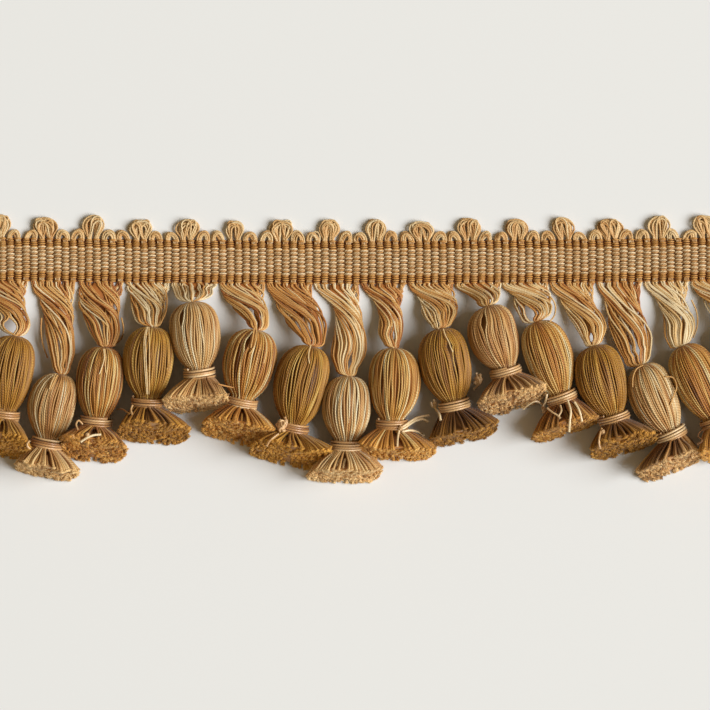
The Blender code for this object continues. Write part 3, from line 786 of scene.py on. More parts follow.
class RawYarn:
    """Collects one piece's paths, hearts and cut ends before they are swept."""

    TWIST_PITCH = 0.95
    KINDS = {
        "part": "FLOAT",
        "yarn_radius": "FLOAT",
        "yarn_tone": "FLOAT",
        "yarn_fray": "FLOAT",
        "yarn_turns": "FLOAT",
        "tuft_aim": "FLOAT_VECTOR",
        "tuft_size": "FLOAT",
    }

    def __init__(self, seed: int) -> None:
        """Starts with nothing laid.

        Args:
            seed: What the piece's draw starts from.
        """
        self.draw = np.random.default_rng(seed)
        self.columns: dict[str, list[np.ndarray]] = {name: [] for name in self.KINDS}
        self.spots: list[np.ndarray] = []
        self.edges: list[np.ndarray] = []
        self.faces: list[tuple[int, ...]] = []
        self.count = 0

    def keep(self, part: Part, spots: np.ndarray, **values: Any) -> None:
        """Keeps some points.

        Args:
            part: What they belong to.
            spots: Their places, one row each.
            **values: Named values, one for all or one for each.
        """
        size = len(spots)
        self.spots.append(spots)
        values["part"] = float(part.value)
        for name, kind in self.KINDS.items():
            shape = (size, 3) if kind == "FLOAT_VECTOR" else (size,)
            self.columns[name].append(np.broadcast_to(np.asarray(values.get(name, 0.0), float), shape))
        self.count += size

    def lay(self, paths: np.ndarray, radius: Any, tone: Any, fray: Any = 0.0) -> None:
        """Lays strands that have as many points each.

        Args:
            paths: Places, as strand, point and axis, or as point and axis for one strand.
            radius: Yarn radius, for all, each strand or each point.
            tone: Place on the finish's colours, likewise.
            fray: How far the yarn has come apart, likewise.
        """
        paths = paths if paths.ndim == 3 else paths[None]
        many, places = paths.shape[:2]
        steps = np.linalg.norm(np.diff(paths, axis=1), axis=2)
        run = np.concatenate([np.zeros((many, 1)), np.cumsum(steps, axis=1)], axis=1)
        turns = run / self.TWIST_PITCH + self.draw.uniform(0, 1, (many, 1))
        size = (many, places)
        radius, tone, fray = (np.broadcast_to(value, size).ravel() for value in (radius, tone, fray))
        first = self.count + np.arange(many)[:, None] * places + np.arange(places - 1)[None]
        self.edges.append(np.stack((first, first + 1), axis=-1).reshape(-1, 2))
        self.keep(
            Part.STRAND,
            paths.reshape(-1, 3),
            yarn_radius=radius * MM,
            yarn_tone=tone,
            yarn_fray=fray,
            yarn_turns=turns.ravel(),
        )

    def fill(self, rings: np.ndarray, tone: Any, fray: Any = 0.0) -> None:
        """Adds a closed body.

        Args:
            rings: Places, as ring, corner and axis, with the rings turning clockwise along the body.
            tone: Place on the finish's colours, for all or for each ring.
            fray: How far its yarn has come apart, likewise.
        """
        many, corners = rings.shape[:2]
        grid = self.count + np.arange(many * corners).reshape(many, corners)
        for here, there in zip(grid, grid[1:]):
            for corner in range(corners):
                after = (corner + 1) % corners
                self.faces.append((here[corner], here[after], there[after], there[corner]))
        self.faces.append(tuple(reversed(grid[0])))
        self.faces.append(tuple(grid[-1]))
        tones, frays = (np.repeat(np.broadcast_to(value, (many,)), corners) for value in (tone, fray))
        self.keep(Part.HEART, rings.reshape(-1, 3), yarn_tone=tones, yarn_fray=frays)

    def cut(self, ends: np.ndarray, ways: np.ndarray, size: Any, tone: Any) -> None:
        """Marks cut ends that get a tuft, each pointing its own way, of any length."""
        aims = ways / np.linalg.norm(ways, axis=1)[:, None]
        self.keep(Part.TUFT, ends, tuft_aim=aims, tuft_size=size, yarn_tone=tone)

    def mesh(self, name: str) -> bpy.types.Mesh:
        """Gives the raw mesh, in metres.

        Args:
            name: The mesh's name.

        Returns:
            The mesh, with a named value for each kind.
        """
        mesh = bpy.data.meshes.new(name)
        spots, edges = np.concatenate(self.spots) * MM, np.concatenate(self.edges)
        mesh.from_pydata(spots.tolist(), edges.tolist(), self.faces)
        for column, kind in self.KINDS.items():
            values = np.concatenate(self.columns[column]).astype(np.float32)
            stored = mesh.attributes.new(column, kind, "POINT")
            stored.data.foreach_set("vector" if kind == "FLOAT_VECTOR" else "value", values.ravel())
        return mesh


@dataclass
class Loom:
    """Turns raw yarn into finished pieces."""

    tuft_seed: int = 71
    tuft_fibres: int = 11
    fibre_radius: float = 0.16
    fibre_turn: float = 0.618
    root_depth: float = 0.35
    fibre_reach: Pair = (0.6, 0.95)
    fibre_rise: Pair = (0.1, 0.45)
    last_seed: int = 9999
    tree: YarnTree = field(default_factory=YarnTree)

    def __post_init__(self) -> None:
        """Makes the one tuft that is set on every cut end."""
        self.tuft = self.make_tuft()

    def make_tuft(self) -> bpy.types.Object:
        """Builds the tuft: the fibres of a yarn's end that have opened into a low brush.

        Returns:
            The tuft's object, which is removed at the end.
        """
        draw = np.random.default_rng(self.tuft_seed)
        spots, faces, frays = [], [], []
        for fibre in range(self.tuft_fibres):
            angle = math.tau * fibre * self.fibre_turn
            lean = math.sqrt((fibre + 0.4) / self.tuft_fibres)
            out = np.array((math.cos(angle), math.sin(angle), 0.0))
            root = out * lean * 0.5 - (0, 0, self.root_depth)
            reach = draw.uniform(*self.fibre_reach)
            rise = draw.uniform(*self.fibre_rise) * (1.2 - 0.5 * lean)
            first = len(spots)
            for corner in range(3):
                turn = angle + math.tau * corner / 3
                spots.append(root + self.fibre_radius * np.array((math.cos(turn), math.sin(turn), 0.0)))
            spots.append(out * lean * reach + (0, 0, rise))
            frays += [0.7, 0.7, 0.7, 1.0]
            faces.append((first + 2, first + 1, first))
            faces += [(first + corner, first + (corner + 1) % 3, first + 3) for corner in range(3)]
        mesh = bpy.data.meshes.new("tuft")
        mesh.from_pydata((np.array(spots) * MM).tolist(), [], faces)
        mesh.attributes.new("yarn_fray", "FLOAT", "POINT").data.foreach_set("value", frays)
        mesh.shade_smooth()
        return put("tuft", mesh)

    def weave(
        self, name: str, raw: RawYarn, finish: YarnFinish, slot: str, nodes: tuple[str, ...], sides: int = 5
    ) -> bpy.types.Object:
        """Sweeps one piece and gives it its place on the frame.

        Args:
            name: The piece's name.
            raw: Its paths, hearts and cut ends.
            finish: Its yarn.
            slot: A material slot's name, which is not used.
            nodes: The nodes of the frame that it stands for.
            sides: How many sides its yarn has.

        Returns:
            The finished piece.
        """
        piece = put(name, raw.mesh(name + "_raw"))
        sweep = piece.modifiers.new("sweep", "NODES")
        sweep.node_group = self.tree.tree
        values = {
            "Sides": sides,
            "Tuft": self.tuft,
            "Tuft Seed": int(raw.draw.integers(1, self.last_seed)),
            "Yarn": finish.material(),
        }
        for key, value in values.items():
            sweep[self.tree.keys[key]] = value
        view = bpy.context.evaluated_depsgraph_get()
        woven = bpy.data.meshes.new_from_object(
            piece.evaluated_get(view), preserve_all_data_layers=True, depsgraph=view
        )
        piece.modifiers.clear()
        raw_mesh, piece.data = piece.data, woven
        bpy.data.meshes.remove(raw_mesh)
        woven.name = name
        for spare in ("part", "around", "yarn_radius", "yarn_turns", "tuft_aim", "tuft_size"):
            if spare in woven.attributes:
                woven.attributes.remove(woven.attributes[spare])
        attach(piece, ROOT_BODY)
        if nodes:
            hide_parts(*nodes)
        log.info("%s: %d triangles", name, sum(len(face.vertices) - 2 for face in woven.polygons))
        return piece

    def put_away(self) -> None:
        """Removes the tuft that the others were copied from."""
        mesh = self.tuft.data
        bpy.data.objects.remove(self.tuft)
        bpy.data.meshes.remove(mesh)


@dataclass
class Hang:
    """The lines that one tassel, its tie and its skein are laid from."""

    number: int
    depth_share: float = 0.96
    top_rise: float = 11.5
    sides: int = 16
    end_round: float = 0.62
    level_round: float = 1.25

    def __post_init__(self) -> None:
        """Works out the tassel's own directions."""
        self.drop = DROPS[self.number]
        self.skirt = SKIRTS[self.number]
        self.tip = np.array((self.drop.tip_x, self.drop.tip_y))
        run = np.array((self.drop.neck_x, self.drop.neck_y)) - self.tip
        self.length = float(np.linalg.norm(run))
        self.down = run / self.length
        self.across = np.array((-self.down[1], self.down[0]))
        self.body_length = self.length - TIE_WIDTH / 2
        self.axis_z = self.drop.half * self.depth_share * math.cos(math.pi / self.sides)

    @property
    def label(self) -> str:
        """Gives the tassel's number as it is in the frame."""
        return f"{self.number + 1:02d}"

    def own(self, rows: Iterable[Any]) -> list[Any]:
        """Gives those rows of a table that belong to this tassel."""
        return [row for row in rows if row.number == self.number]

    def place(self, along: Any, across: Any, z: Any) -> np.ndarray:
        """Gives places along the tassel from its tip, across to its right, and above the surface."""
        x, y = (self.tip[axis] + self.down[axis] * along + self.across[axis] * across for axis in range(2))
        return points(x, y, z)

    def rim(self, angle: Any) -> tuple[np.ndarray, np.ndarray, np.ndarray]:
        """Gives the skirt's rim.

        Args:
            angle: Angles around the tassel from its right side upwards.

        Returns:
            How far along, how far across, and the height, for each angle.
        """
        skirt = self.skirt
        side, rise = (np.sign(way) * np.abs(way) ** self.end_round for way in (np.cos(angle), np.sin(angle)))
        level = skirt.left + (skirt.right - skirt.left) * (side + 1) / 2
        reach = np.where(rise > 0, skirt.upper, skirt.floor)
        along = self.length + level + (reach - level) * np.abs(rise) ** self.level_round
        lift = np.where(side < 0, skirt.lift_left, skirt.lift_right)
        z = (self.axis_z + self.top_rise) / 2 * (1 + rise) + lift * side**2
        return along, skirt.shift + skirt.half * side, z


@dataclass
class Drape:
    """Lays loose threads over whatever lies below them."""

    step: float = 0.7
    fewest: int = 6
    above: float = 60.0
    look: float = 0.35
    bridge: int = 2
    press: float = 0.8
    tuft: float = 0.8
    tie_hold: float = 6.0
    skein_hold: float = 3.2
    knot_turns: int = 19
    knot_points: int = 4
    knot_tufts: int = 16
    knot_tuft: float = 1.1
    knot_tone: float = 0.32
    knot_fray: float = 0.7
    knot_heart: float = 0.8
    knot_rise: float = 0.35
    heart_rings: tuple[int, ...] = (-70, -35, 0, 35, 70)
    heart_corners: int = 10
    heart_tone: float = 0.3
    heart_fray: float = 0.6
    stray_tone: float = 0.04
    knot_stray: float = 0.14

    def surface(self, x: float, y: float) -> float:
        """Gives the height of what lies at a place, 0 on the table.

        Args:
            x: The place along the braid.
            y: The place across the braid.

        Returns:
            The height of the highest surface near there.
        """
        view = bpy.context.evaluated_depsgraph_get()
        highest = 0.0
        for side_x, side_y in ((0, 0), (-1, 0), (1, 0), (0, -1), (0, 1)):
            start = Vector((x + side_x * self.look, y + side_y * self.look, self.above)) * MM
            found, place, *_ = bpy.context.scene.ray_cast(view, start, Vector((0.0, 0.0, -1.0)))
            if found:
                highest = max(highest, place.z / MM)
        return highest

    def along(self, heights: np.ndarray, pick: Callable[[np.ndarray], float]) -> np.ndarray:
        """Gives one value for each point, picked from the heights round it."""
        padded = np.pad(heights, self.bridge, mode="edge")
        return np.array([pick(padded[spot : spot + 2 * self.bridge + 1]) for spot in range(len(heights))])

    def path(self, thread: LooseThread, hold: float) -> np.ndarray:
        """Gives a smooth way through a thread's places, resting on what lies below.

        Args:
            thread: The thread.
            hold: How high it stays where nothing lies below.

        Returns:
            The way, one row for each point.
        """
        known = np.reshape(thread.spots, (-1, 2))
        run = np.concatenate([[0.0], np.cumsum(np.linalg.norm(np.diff(known, axis=0), axis=1))])
        at = np.linspace(0, run[-1], max(int(run[-1] / self.step), self.fewest))
        x, y = (through(at, run, known[:, axis]) for axis in range(2))
        low = np.array([max(self.surface(*spot), hold) for spot in zip(x, y)])
        even = self.along(self.along(low, np.max), np.mean)
        return points(x, y, np.maximum(even, low) + thread.radius * self.press)

    def lay(self, raw: RawYarn, threads: Iterable[LooseThread], hold: float) -> None:
        """Lays loose threads.

        Args:
            raw: What they are added to.
            threads: The threads.
            hold: How high they stay where nothing lies below.
        """
        for thread in threads:
            path = self.path(thread, hold)
            raw.lay(path, thread.radius, thread.tone + raw.draw.normal(0, self.stray_tone, len(path)))
            if thread.frayed:
                raw.cut(path[-1:], path[-1:] - path[-2:-1], self.tuft, thread.tone)

    def knot(self, raw: RawYarn, knot: Knot) -> None:
        """Winds one knot.

        Args:
            raw: What it is added to.
            knot: The knot.
        """
        half_z = min(knot.half_x, knot.half_y)
        top = max(self.surface(knot.x, knot.y), self.tie_hold) + half_z * self.knot_rise
        middle, size = (knot.x, knot.y, top), np.array((knot.half_x, knot.half_y, half_z))
        shrink = 1 - knot.thread / half_z
        turns = raw.draw.normal(0, 1, (self.knot_turns, 3))
        turns /= np.linalg.norm(turns, axis=1)[:, None]
        way = np.arange(self.knot_turns)
        at = np.linspace(0, self.knot_turns - 1, self.knot_turns * self.knot_points)
        spot = np.stack([through(at, way, turns[:, axis]) for axis in range(3)], axis=-1)
        path = spot * (size * shrink) + middle
        tone = np.clip(self.knot_tone + raw.draw.normal(0, self.knot_stray, len(at)), 0, 1)
        raw.lay(path, knot.thread, tone, self.knot_fray)
        tufts = raw.draw.integers(0, len(at), self.knot_tufts)
        raw.cut(path[tufts], path[tufts] - middle, self.knot_tuft, tone[tufts])
        rise, around = np.radians(self.heart_rings)[:, None], ring(self.heart_corners)[None]
        ball = points(np.cos(rise) * np.cos(around), np.cos(rise) * np.sin(around), np.sin(rise))
        heart = ball * (size * (self.knot_heart * shrink)) + middle
        raw.fill(heart, self.heart_tone, self.heart_fray)


@dataclass(frozen=True)
class Weft:
    """A kind of weft thread: its radius, ends, swell, rise over the face, and how unevenly it lies."""

    radius: float
    ends: float
    swell: float
    rise: float
    stray_x: float
    stray_z: float
    vary: float
    stray_y: float = 0.03


PALE_WEFT = Weft(0.37, 0.4, 0.6, 0.0, 0.04, 0.05, 0.1)
DARK_WEFT = Weft(0.32, 0.55, 0.5, 0.1, 0.03, 0.04, 0.08)


@dataclass
class Braid:
    """The woven band: ribs of paired floats over a cloth, with dark gold rows along both edges."""

    seed: int = 11
    pale_rows: int = 7
    row_pitch: float = 1.35
    first_row: float = 3.92
    dark_rows: tuple[Floats, ...] = ((1.72, 2.44, 3.14), (12.62, 13.34, 14.06, 14.78))
    binding_row: float = 0.36
    dot_row: float = 1.0
    profile: Floats = (-1.0, -0.86, -0.45, 0.0, 0.45, 0.86, 1.0)
    face_z: float = 1.62
    sunk_z: float = 0.36
    float_half: float = 1.56
    under_reach: float = 0.84
    float_tones: Pair = (0.82, 1.0)
    under_tones: Pair = (0.48, 0.68)
    part_ends: float = 0.05
    part_crown: float = 0.3
    dark_half: float = 1.24
    dark_narrowing: float = 0.18
    dark_tones: Pair = (0.0, 0.42)
    binding_half: float = 1.15
    binding_tones: Pair = (0.0, 0.3)
    dot_places: Floats = (-0.75, -0.25, 0.25, 0.75)
    dot_spread: float = 0.85
    dot_half: float = 0.7
    dot_radius: float = 0.27
    dot_foot_z: float = 0.95
    dot_rise: float = 0.6
    dot_tones: Pair = (0.5, 0.9)
    cloth_top: float = 1.12
    cloth_inset: float = 0.1
    cloth_steps: int = 4
    cloth_profile: Floats = (-1.0, -0.97, -0.5, 0.0, 0.5, 0.97, 1.0)
    rib_depth: float = 0.3
    rim_share: float = 0.7
    rib_sink: float = 0.25
    cloth_foot: float = 0.12
    cloth_curl: float = 0.3
    crown_round: float = 0.8
    dot_points: int = 5
    float_vary: Pair = (0.96, 1.04)

    def __post_init__(self) -> None:
        """Works out how full a thread is at each place across its column."""
        self.raw = RawYarn(self.seed)
        self.share = np.array(self.profile)
        self.crown = np.sqrt(np.clip(1 - self.share**2, 0, 1)) ** self.crown_round

    def rows(self, column: int) -> dict[str, list[float]]:
        """Gives how far below the upper edge each kind of row lies in a column.

        Args:
            column: The column, counted from 0 at the left.

        Returns:
            The rows of each kind.
        """
        pale = [self.first_row + row * self.row_pitch for row in range(self.pale_rows)]
        dark = [row for group in self.dark_rows for row in group]
        rows = {"pale": pale, "dark": dark, "binding": [self.binding_row], "dot": [self.dot_row]}
        if column % 2 == 1:
            rows = {kind: [BRAID_HEIGHT - row for row in kept] for kind, kept in rows.items()}
        return rows

    def build(self, loom: Loom, finish: YarnFinish, cloth_finish: ClothFinish) -> None:
        """Weaves the band.

        Args:
            loom: What sweeps the yarn.
            finish: The weft's yarn.
            cloth_finish: The cloth below it.
        """
        for column in range(COLUMNS):
            x = column_x(column)
            top = braid_rise(x) + BRAID_HEIGHT / 2
            rows = self.rows(column)
            for row in rows["pale"]:
                self.float_pair(x, top - row)
            for row in rows["dark"]:
                middle = min(abs(row - np.mean(group)) for group in self.groups(rows["dark"]))
                half = self.dark_half - self.dark_narrowing * middle**2
                self.thread(DARK_WEFT, x, top - row, half, self.dark_tones)
            for row in rows["binding"]:
                self.thread(DARK_WEFT, x, top - row, self.binding_half, self.binding_tones)
            for row in rows["dot"]:
                self.dots(x, top - row)
        weave = loom.weave("braid_weave", self.raw, finish, "braid", ())
        cloth = self.cloth(cloth_finish)

    @staticmethod
    def groups(rows: list[float]) -> list[list[float]]:
        """Parts rows into those near one edge and those near the other."""
        near = [row for row in rows if row < BRAID_HEIGHT / 2]
        return [near, [row for row in rows if row not in near]]

    def float_pair(self, x: float, y: float) -> None:
        """Lays one float: a lighter thread above a darker one, which meet in a point at both ends.

        Args:
            x: The column's middle.
            y: The float's middle.
        """
        for side, reach, tones in ((1, 1.0, self.float_tones), (-1, self.under_reach, self.under_tones)):
            half = self.float_half * reach * self.raw.draw.uniform(*self.float_vary)
            apart = side * (self.part_ends + self.part_crown * self.crown)
            self.thread(PALE_WEFT, x, y + apart, half, tones)

    def thread(self, weft: Weft, x: float, y: Any, half: float, tones: Pair) -> None:
        """Lays one thread across a column.

        Args:
            weft: The kind of thread.
            x: The column's middle.
            y: The thread's middle, or its place at each point.
            half: Half the thread's length.
            tones: Its lowest and highest tone.
        """
        draw, rise = self.raw.draw, self.face_z + weft.rise - self.sunk_z
        path = points(
            x + self.share * half + draw.normal(0, weft.stray_x),
            y + draw.normal(0, weft.stray_y),
            self.sunk_z + rise * self.crown + draw.normal(0, weft.stray_z),
        )
        radius = weft.radius * (weft.ends + weft.swell * self.crown)
        self.raw.lay(path, radius * draw.uniform(1 - weft.vary, 1 + weft.vary), draw.uniform(*tones))

    def dots(self, x: float, y: float) -> None:
        """Lays the short pale threads that show between the binding thread and the dark rows.

        Args:
            x: The column's middle.
            y: The middle of the gap.
        """
        share = np.linspace(-1, 1, self.dot_points)
        z = self.dot_foot_z + self.dot_rise * np.cos(share * math.pi / 2)
        for side in self.dot_places:
            path = points(x + side * self.dot_spread, y + share * self.dot_half, z)
            self.raw.lay(path, self.dot_radius, self.raw.draw.uniform(*self.dot_tones))

    def cloth(self, finish: ClothFinish) -> bpy.types.Object:
        """Builds the closed cloth that the floats are woven into.

        Args:
            finish: The cloth's finish.

        Returns:
            The cloth, in the braid's place on the frame.
        """
        steps, wide = self.cloth_steps * COLUMNS, len(self.cloth_profile)
        layer = (steps + 1) * wide
        xs = np.linspace(-BRAID_LENGTH / 2, BRAID_LENGTH / 2, steps + 1)
        full = np.cos(xs / COLUMN_PITCH * math.tau + math.pi) * 0.5 + 0.5
        ribs = self.cloth_top - self.rib_sink + self.rib_depth * full
        spots, faces = [], []
        for level in (0, 1):
            for x, rib in zip(xs, ribs):
                for share in self.cloth_profile:
                    rim = self.rim_share if abs(share) == 1.0 else 1.0
                    z = rib * rim if level else self.cloth_foot + self.cloth_curl * (1 - rim)
                    spots.append((x, braid_rise(x) + share * (BRAID_HEIGHT / 2 - self.cloth_inset), z))
        for step in range(steps):
            for low in range(step * wide, step * wide + wide - 1):
                faces.append((low, low + 1, low + wide + 1, low + wide))
                faces.append(tuple(layer + corner for corner in (low, low + wide, low + wide + 1, low + 1)))
            for low, turn in ((step * wide, 1), (step * wide + wide - 1, -1)):
                faces.append((low, low + wide, layer + low + wide, layer + low)[::turn])
        for first, turn in ((0, 1), (steps * wide, -1)):
            for low in range(first, first + wide - 1):
                faces.append((low, layer + low, layer + low + 1, low + 1)[::turn])
        mesh = bpy.data.meshes.new("braid_cloth")
        mesh.from_pydata((np.array(spots) * MM).tolist(), [], faces)
        mesh.shade_smooth()
        mesh.materials.append(finish.material())
        cloth = put("braid_cloth", mesh)
        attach(cloth, ROOT_BODY)
        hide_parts("braid")
        log.info("braid_cloth: %d faces", len(faces))
        return cloth


@dataclass(frozen=True)
class ClothFinish:
    """The dark ground of the braid: a fine woven relief in browns."""

    name: str
    dark: Chip
    light: Chip
    thread: float = 0.00055
    grain_scale: float = 1800.0
    grain_detail: float = 3.0
    relief: float = 0.0002
    weave_share: float = 0.6
    roughness: float = 0.7
    grain_rough: float = 0.2
    grain_relief: float = 0.4
    bump: float = 0.7
    specular: float = 0.25
    sheen: float = 0.2

    def material(self) -> bpy.types.Material:
        """Builds the cloth's nodes.

        Returns:
            The new material.
        """
        material, bench = new_material(self.name)
        place = bench.wire("ShaderNodeTexCoord", output="Object")
        x, y, _ = bench.split(place)
        over = (x * (math.pi / self.thread)).cosine() * (y * (math.pi / self.thread)).cosine() * 0.5 + 0.5
        grain = bench.noise(place, self.grain_scale, self.grain_detail)
        share = over * self.weave_share + grain * (1 - self.weave_share)
        bench.surface(
            {
                "Base Color": bench.mix(share, paint(*self.dark), paint(*self.light)),
                "Roughness": self.roughness + (grain - 0.5) * self.grain_rough,
                "Normal": bench.bump(over + grain * self.grain_relief, self.bump, self.relief),
                "Specular IOR Level": self.specular,
                "Sheen Weight": self.sheen,
            }
        )
        return material


@dataclass
class LoopedEdge:
    """The turns of the weft above the braid: a large loop and two small ones for each repeat."""

    seed: int = 23
    first_column: int = 1
    loops_per_repeat: int = 3
    yarn: float = 0.33
    foot_z: float = 1.05
    foot_tuck: float = 0.9
    foot_spread: float = 0.85
    large_height: float = 7.6
    large_half: float = 3.85
    large_strands: int = 18
    large_points: int = 19
    large_tones: Floats = (0.38, 0.5, 0.62, 0.76)
    # Painted light: how much lighter each turn is towards its raised crown, and darker at its feet.
    height_shade_tone: float = 0.12
    wave_tone: float = 0.1
    nested_strands: int = 6
    nested_step: float = 0.42
    nested_drop: float = 0.05
    filler_room: float = 3.6
    low_level: float = 0.45
    level_range: float = 1.7
    top_share: float = 0.52
    small_height: float = 3.4
    small_half: float = 2.25
    small_strands: int = 8
    small_points: int = 11
    small_step: float = 1.3
    small_drop: float = 0.42
    small_lean: float = 0.7
    small_tones: Floats = (0.34, 0.48, 0.6, 0.76)
    nested_stray: float = 0.2
    slide_stray: float = 0.3
    nested_reach: Pair = (0.97, 1.01)
    filler_half: Pair = (1.0, 2.2)
    filler_slide: Pair = (0.3, 1.0)
    filler_reach: Pair = (0.76, 1.0)
    large_vary: Pair = (0.88, 1.05)
    small_vary: Pair = (0.9, 1.05)
    stray_tone: float = 0.04
    climb: float = 1.6
    round_share: float = 0.42

    def __post_init__(self) -> None:
        """Starts the edge's yarn."""
        self.raw = RawYarn(self.seed)

    def build(self, loom: Loom, finish: YarnFinish) -> None:
        """Lays every loop.

        Args:
            loom: What sweeps the yarn.
            finish: The weft's yarn.
        """
        for number, column in enumerate(range(self.first_column, COLUMNS - 1, 2)):
            left, right = column_x(column), column_x(column + 1)
            foot_y = braid_rise((left + right) / 2) + BRAID_HEIGHT / 2 - self.foot_tuck
            if number % self.loops_per_repeat == 0:
                self.large(left, right, foot_y, LARGE_LOOPS[number // self.loops_per_repeat])
            else:
                self.small((left + right) / 2, foot_y)
        loom.weave("loop_yarns", self.raw, finish, "loops", ("looped_edge",))

    def turn_size(self, turn: int, own: LargeLoop) -> tuple[float, float, float]:
        """Draws the size of one turn of a large loop: first the nested turns, then the fillers.

        Args:
            turn: The turn's number.
            own: The loop's own lean, height and width.

        Returns:
            Its half width, how far it slides to the side, and its height.
        """
        draw, height = self.raw.draw, self.large_height * own.height
        if turn < self.nested_strands:
            half = self.large_half * own.width - self.nested_step * turn + draw.normal(0, self.nested_stray)
            slide = draw.normal(0, self.slide_stray)
            share = 1.0 - self.nested_drop * turn
            return half, slide, share * height * draw.uniform(*self.nested_reach) - self.yarn
        half = draw.uniform(*self.filler_half)
        room = self.filler_room * own.width - half
        slide = draw.choice((-1, 1)) * room * draw.uniform(*self.filler_slide)
        return half, slide, draw.uniform(*self.filler_reach) * height - self.yarn

    def large(self, left: float, right: float, foot_y: float, own: LargeLoop) -> None:
        """Lays one large loop of several turns that fan out.

        Args:
            left: The left foot's column middle.
            right: The right foot's column middle.
            foot_y: Where the feet end, below the braid's edge.
            own: This loop's own lean, height and width.
        """
        draw, middle = self.raw.draw, (left + right) / 2
        share = np.linspace(-1, 1, self.large_points)
        levels = draw.permutation(self.large_strands)
        for turn in range(self.large_strands):
            half, slide, reach = self.turn_size(turn, own)
            side, up = self.teardrop(np.abs(share), half, reach)
            high = np.clip(up / reach, 0, 1)
            foot = draw.uniform(-self.foot_spread, self.foot_spread)
            target = np.where(share < 0, left - middle + foot, right - middle + foot)
            near_foot = np.clip(1 - high / 0.5, 0, 1) ** 1.5
            free_x = np.sign(share) * side + own.lean * high**2 + slide * high
            x = middle + (free_x * (1 - near_foot) + target * near_foot)
            level = self.low_level + self.level_range * levels[turn] / (self.large_strands - 1)
            z = self.foot_z + (level - self.foot_z) * np.clip(high * self.climb, 0, 1)
            y = foot_y + (reach + self.foot_tuck) * high
            tone = draw.choice(self.large_tones) + draw.normal(0, self.stray_tone)
            # Painted light: higher up the loop the yarn is made lighter, and darker at the feet.
            tone = tone + self.height_shade_tone * (high - 0.5) + self.wave_tone * Ripple(turn + 7).at(share * 4, 0.0)
            path = points(x, y, np.maximum(z, self.yarn))
            self.raw.lay(path, self.yarn * draw.uniform(*self.large_vary), np.clip(tone, 0, 1))

    def teardrop(self, share: np.ndarray, half: float, reach: float) -> tuple[np.ndarray, np.ndarray]:
        """Gives one side of a loop from its crown, 0, to its foot, 1.

        Args:
            share: The way from crown to foot.
            half: The loop's half width.
            reach: The loop's height.

        Returns:
            How far to the side and how far up each place is.
        """
        round_top = min(half, reach * self.round_share)
        turn = np.clip(share / self.top_share, 0, 1) * math.pi / 2
        rest = np.clip((share - self.top_share) / (1 - self.top_share), 0, 1)
        below = share > self.top_share
        side = np.where(below, half * (1 - 0.6 * rest**1.3), half * np.sin(turn))
        up = np.where(below, (reach - round_top) * (1 - rest), reach - round_top * (1 - np.cos(turn)))
        return side, up

    def small(self, middle: float, foot_y: float) -> None:
        """Lays one small loop.

        Args:
            middle: The middle between its feet.
            foot_y: Where the feet end, below the braid's edge.
        """
        draw = self.raw.draw
        middle, lean = middle + draw.normal(0, 0.2), draw.uniform(-self.small_lean, self.small_lean)
        angle = np.linspace(-1, 1, self.small_points) * math.pi / 2
        arch = np.cos(angle)
        height = self.small_height * draw.uniform(0.85, 1.1)
        for turn in range(self.small_strands):
            inner = turn / (self.small_strands - 1)
            half = self.small_half - self.small_step * inner + draw.normal(0, 0.12)
            reach = (1.0 - self.small_drop * inner) * height * draw.uniform(0.9, 1.06)
            x = middle + half * np.sin(angle) + (draw.normal(0, 0.3) + lean) * arch
            y = foot_y + (reach + 0.5) * arch**0.8
            z = np.maximum(self.foot_z + draw.uniform(-0.35, 1.0) * arch, self.yarn)
            tone = np.clip(draw.choice(self.small_tones) + draw.normal(0, self.stray_tone), 0, 1)
            self.raw.lay(points(x, y, z), self.yarn * draw.uniform(*self.small_vary), tone)


